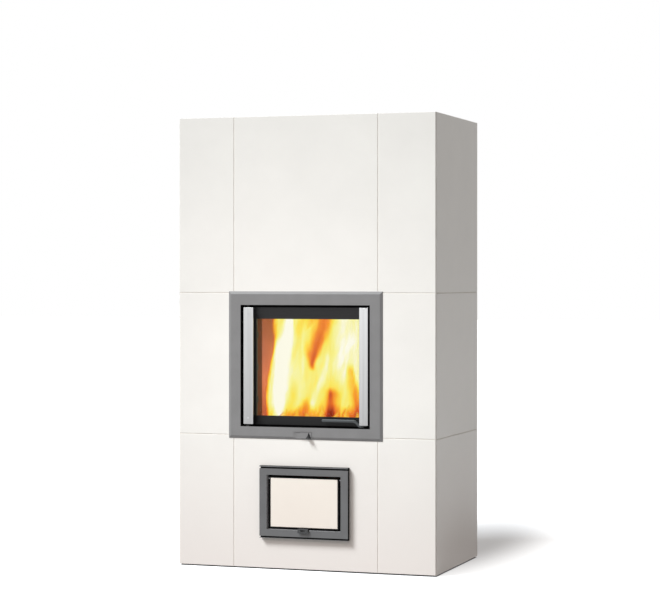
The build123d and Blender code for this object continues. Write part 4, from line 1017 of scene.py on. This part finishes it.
class STOVE_OT_lay_fire(Operator):
    """Lay logs and embers on the hearth and light the fire"""

    bl_idname = "stove.lay_fire"
    bl_label = "Fire"

    def execute(self, context):
        settings = context.scene.stove_fire
        floor, glow = settings.floor, settings.glow
        foot, top = floor + FIRE_FOOT, floor + FIRE_TOP
        draw = random.Random(settings.seed)
        bark = ember_finish("charred_bark", settings.ember_glow)
        ash = ember_finish("glowing_ash", settings.ember_glow)
        new_piece("ember_bed", lambda form: ember_form(form, floor), ash)
        for index, (start, end, radius) in enumerate(LOGS):
            low = (*start[:2], start[2] + floor + FIRE_FOOT)
            high = (*end[:2], end[2] + floor + FIRE_FOOT)
            new_piece(
                f"log_{index + 1}",
                lambda form, a=low, b=high, r=radius: log_form(form, draw, a, b, r),
                bark,
            )
        pieces = []
        for name, (depth, offset, edged) in SHEETS.items():
            finish = fire_sheet(name, glow, offset, edged)
            pieces.append(new_piece(name, lambda form, y=depth: curtain_form(form, foot, top, y), finish))
        finish = tongue_finish("flame_low", glow)
        pieces.append(new_piece("flames_low", lambda form: flames_form(form, draw, floor), finish))
        for piece in pieces:
            piece.visible_shadow = False
        lamp = new_lamp("fire_light", "POINT", settings.lamp, FIRE_LIGHT)
        lamp.data.shadow_soft_size = FIRE_LIGHT_SIZE
        lamp.location = Vector(FIRE_LIGHT_PLACE) + Vector((0, 0, floor))
        lamp.visible_camera = False
        lamp.visible_glossy = False
        lamp.visible_transmission = False
        return {"FINISHED"}


def aim(lamp, place, target):
    """Put a lamp in place, pointing at the target."""
    lamp.location = place
    lamp.rotation_euler = (Vector(target) - Vector(place)).to_track_quat("-Z", "Y").to_euler()


def beneath(tree, name, overhang):
    """1 on the floor under a node that is centred on the origin, and under what overhangs it, else 0."""
    high = node_box(name)[1]
    place = position(tree)
    shares = []
    for axis, limit in (("X", high.x), ("Y", high.y)):
        away = combine(tree, "ABSOLUTE", place[axis], 0.0)
        shares.append(combine(tree, "LESS_THAN", away, limit + overhang))
    return combine(tree, "MULTIPLY", shares[0], shares[1])


def seen_directly(tree):
    """1 for rays from the camera and in gloss and glass, else 0."""
    rays = node(tree, "LightPath")
    seen = combine(tree, "MAXIMUM", rays.outputs["Is Camera Ray"], rays.outputs["Is Glossy Ray"])
    return combine(tree, "MAXIMUM", seen, rays.outputs["Is Transmission Ray"])


# The stove's shadow on the floor shows within an oval: its middle and half widths in metres, and the shares
# of them at which the shadow starts to fade and ends
SHADOW_MIDDLE = (0.27, 0.55)
SHADOW_REACH = (0.31, 1.1)
SHADOW_FADE = (0.35, 1.25)
SHADOW_LIFT = 0.31  # light that the floor has of its own in the middle of the oval
OVERHANG = 0.005  # how far the stove stands out over its base plate, less a millimetre
FLOOR_REACH = 40.0
FLOOR_GREY = (0.5, 0.51, 0.53, 1)  # the floor's colour where it is seen directly

SKY_COLOUR = (1, 0.885, 0.795, 1)
WHITE = (1, 1, 1, 1)

# Lamps: where they stand and what they point at
KEY_COLOUR = (0.95, 0.985, 1.0)
KEY_ANGLE = 20  # degrees
KEY_AIM = ((-3.2, -3.1, 5.4), (0, -0.2, 0.7))
PANEL_COLOUR = (1.0, 0.9, 0.88)
PANEL_SIZE = (0.6, 0.4)
PANEL_AIM = ((-0.14, -1.2, 0.72), (0.02, -0.245, 0.69))

# The camera, level, as the photograph was taken
CAMERA_PLACE = (2.204, -6.425, 0.915)
CAMERA_TURN = 18.94  # degrees
CAMERA_SHIFT = -0.0298
CAMERA_SENSOR = 36.0
CAMERA_CLIP = 200.0  # how far it sees, in metres


class STOVE_OT_build_stage(Operator):
    """Make the floor, the lights, the world and the camera"""

    bl_idname = "stove.build_stage"
    bl_label = "Stage"

    def execute(self, context):
        settings = context.scene.stove_stage
        scene = context.scene
        scene.view_settings.view_transform = "Standard"
        self.floor(settings)
        self.world(scene, settings)
        self.lamps(settings)
        self.camera(scene, settings)
        return {"FINISHED"}

    def floor(self, settings):
        """A wide floor: white where it is lit, grey in the stove's shadow."""
        mesh = bpy.data.meshes.new("studio_floor")
        corners = [(x * FLOOR_REACH, y * FLOOR_REACH, 0) for x, y in ((-1, -1), (1, -1), (1, 1), (-1, 1))]
        mesh.from_pydata(corners, [], [(0, 1, 2, 3)])
        floor = placed("studio_floor", mesh)
        material = bpy.data.materials.new("studio_floor")
        tree = bare_tree(material)
        pale = settings.floor
        plain = node(tree, "BsdfDiffuse", {"Color": (pale, pale, pale, 1)})
        seen = node(tree, "BsdfDiffuse", {"Color": FLOOR_GREY})
        white = node(tree, "Emission", {"Color": WHITE, "Strength": self.own_light(tree)})
        shown = node(tree, "AddShader", {0: seen.outputs[0], 1: white.outputs[0]})
        mixed = node(tree, "MixShader", {0: seen_directly(tree), 1: plain.outputs[0], 2: shown.outputs[0]})
        node(tree, "OutputMaterial", {"Surface": mixed.outputs[0]})
        mesh.materials.append(material)

    def own_light(self, tree):
        """How much the floor glows: least in the oval of the shadow, and not at all under the stove."""
        inputs = {
            "Vector": node(tree, "TexCoord").outputs["Object"],
            "Scale": (1 / SHADOW_REACH[0], 1 / SHADOW_REACH[1], 0),
            "Location": (-SHADOW_MIDDLE[0] / SHADOW_REACH[0], -SHADOW_MIDDLE[1] / SHADOW_REACH[1], 0),
        }
        oval = node(tree, "Mapping", inputs).outputs["Vector"]
        away = node(tree, "VectorMath", {0: oval}, operation="LENGTH").outputs["Value"]
        lift = spread(tree, away, SHADOW_LIFT, 1.0, SHADOW_FADE, smooth=True)
        open_floor = combine(tree, "SUBTRACT", 1.0, beneath(tree, "base_plate", OVERHANG))
        lift = combine(tree, "MULTIPLY", lift, open_floor)
        return combine(tree, "MAXIMUM", lift, node(tree, "LightPath").outputs["Is Glossy Ray"])

    def world(self, scene, settings):
        """Even light from all round, and white where it is seen directly."""
        world = bpy.data.worlds.new("studio")
        scene.world = world
        tree = bare_tree(world)
        light = node(tree, "Background", {"Color": SKY_COLOUR, "Strength": settings.sky})
        white = node(tree, "Background", {"Color": WHITE, "Strength": 1.0})
        mixed = node(tree, "MixShader", {0: seen_directly(tree), 1: light.outputs[0], 2: white.outputs[0]})
        node(tree, "OutputWorld", {"Surface": mixed.outputs[0]})

    def lamps(self, settings):
        """A soft key light from the upper left and a panel in front."""
        key = new_lamp("key_light", "SUN", settings.key, KEY_COLOUR)
        key.data.angle = math.radians(KEY_ANGLE)
        aim(key, *KEY_AIM)
        panel = new_lamp("front_panel", "AREA", settings.fill, PANEL_COLOUR)
        panel.data.shape = "RECTANGLE"
        panel.data.size, panel.data.size_y = PANEL_SIZE
        panel.visible_glossy = False
        aim(panel, *PANEL_AIM)

    def camera(self, scene, settings):
        """A level camera in front, a little to the stove's right."""
        data = bpy.data.cameras.new("camera")
        data.lens = settings.lens
        data.sensor_width = CAMERA_SENSOR
        data.shift_y = CAMERA_SHIFT
        data.clip_end = CAMERA_CLIP
        camera = placed("camera", data)
        camera.location = CAMERA_PLACE
        camera.rotation_euler = (math.radians(90), 0, math.radians(CAMERA_TURN))
        scene.camera = camera


class STOVE_PT_looks(Panel):
    """Buttons for the stove's pieces, and their settings"""

    bl_label = "Tiled Stove"
    bl_idname = "STOVE_PT_looks"
    bl_space_type = "VIEW_3D"
    bl_region_type = "UI"
    bl_category = "Stove"

    def draw(self, context):
        layout = self.layout
        for operator in OPERATORS:
            layout.operator(operator.bl_idname)
        for group in SETTINGS:
            box = layout.box()
            values = getattr(context.scene, group)
            for name in values.bl_rna.properties.keys():
                if name not in ("rna_type", "name"):
                    box.prop(values, name)


SETTINGS = {
    "stove_tiles": StoveTileSettings,
    "stove_metal": StoveMetalSettings,
    "stove_core": StoveCoreSettings,
    "stove_fire": StoveFireSettings,
    "stove_stage": StoveStageSettings,
}
OPERATORS = (
    STOVE_OT_dress_tiles,
    STOVE_OT_dress_core,
    STOVE_OT_dress_iron,
    STOVE_OT_dress_steel,
    STOVE_OT_dress_glass,
    STOVE_OT_lay_fire,
    STOVE_OT_build_stage,
)


def register():
    for made in (*SETTINGS.values(), *OPERATORS, STOVE_PT_looks):
        bpy.utils.register_class(made)
    for name, group in SETTINGS.items():
        setattr(bpy.types.Scene, name, PointerProperty(type=group))


def unregister():
    for name in SETTINGS:
        delattr(bpy.types.Scene, name)
    for made in reversed((*SETTINGS.values(), *OPERATORS, STOVE_PT_looks)):
        bpy.utils.unregister_class(made)


def main():
    register()
    bpy.ops.stove.dress_tiles()
    bpy.ops.stove.dress_core()
    bpy.ops.stove.dress_iron()
    bpy.ops.stove.dress_steel()
    bpy.ops.stove.dress_glass()
    bpy.ops.stove.lay_fire()
    bpy.ops.stove.build_stage()


if __name__ == "__main__":
    main()
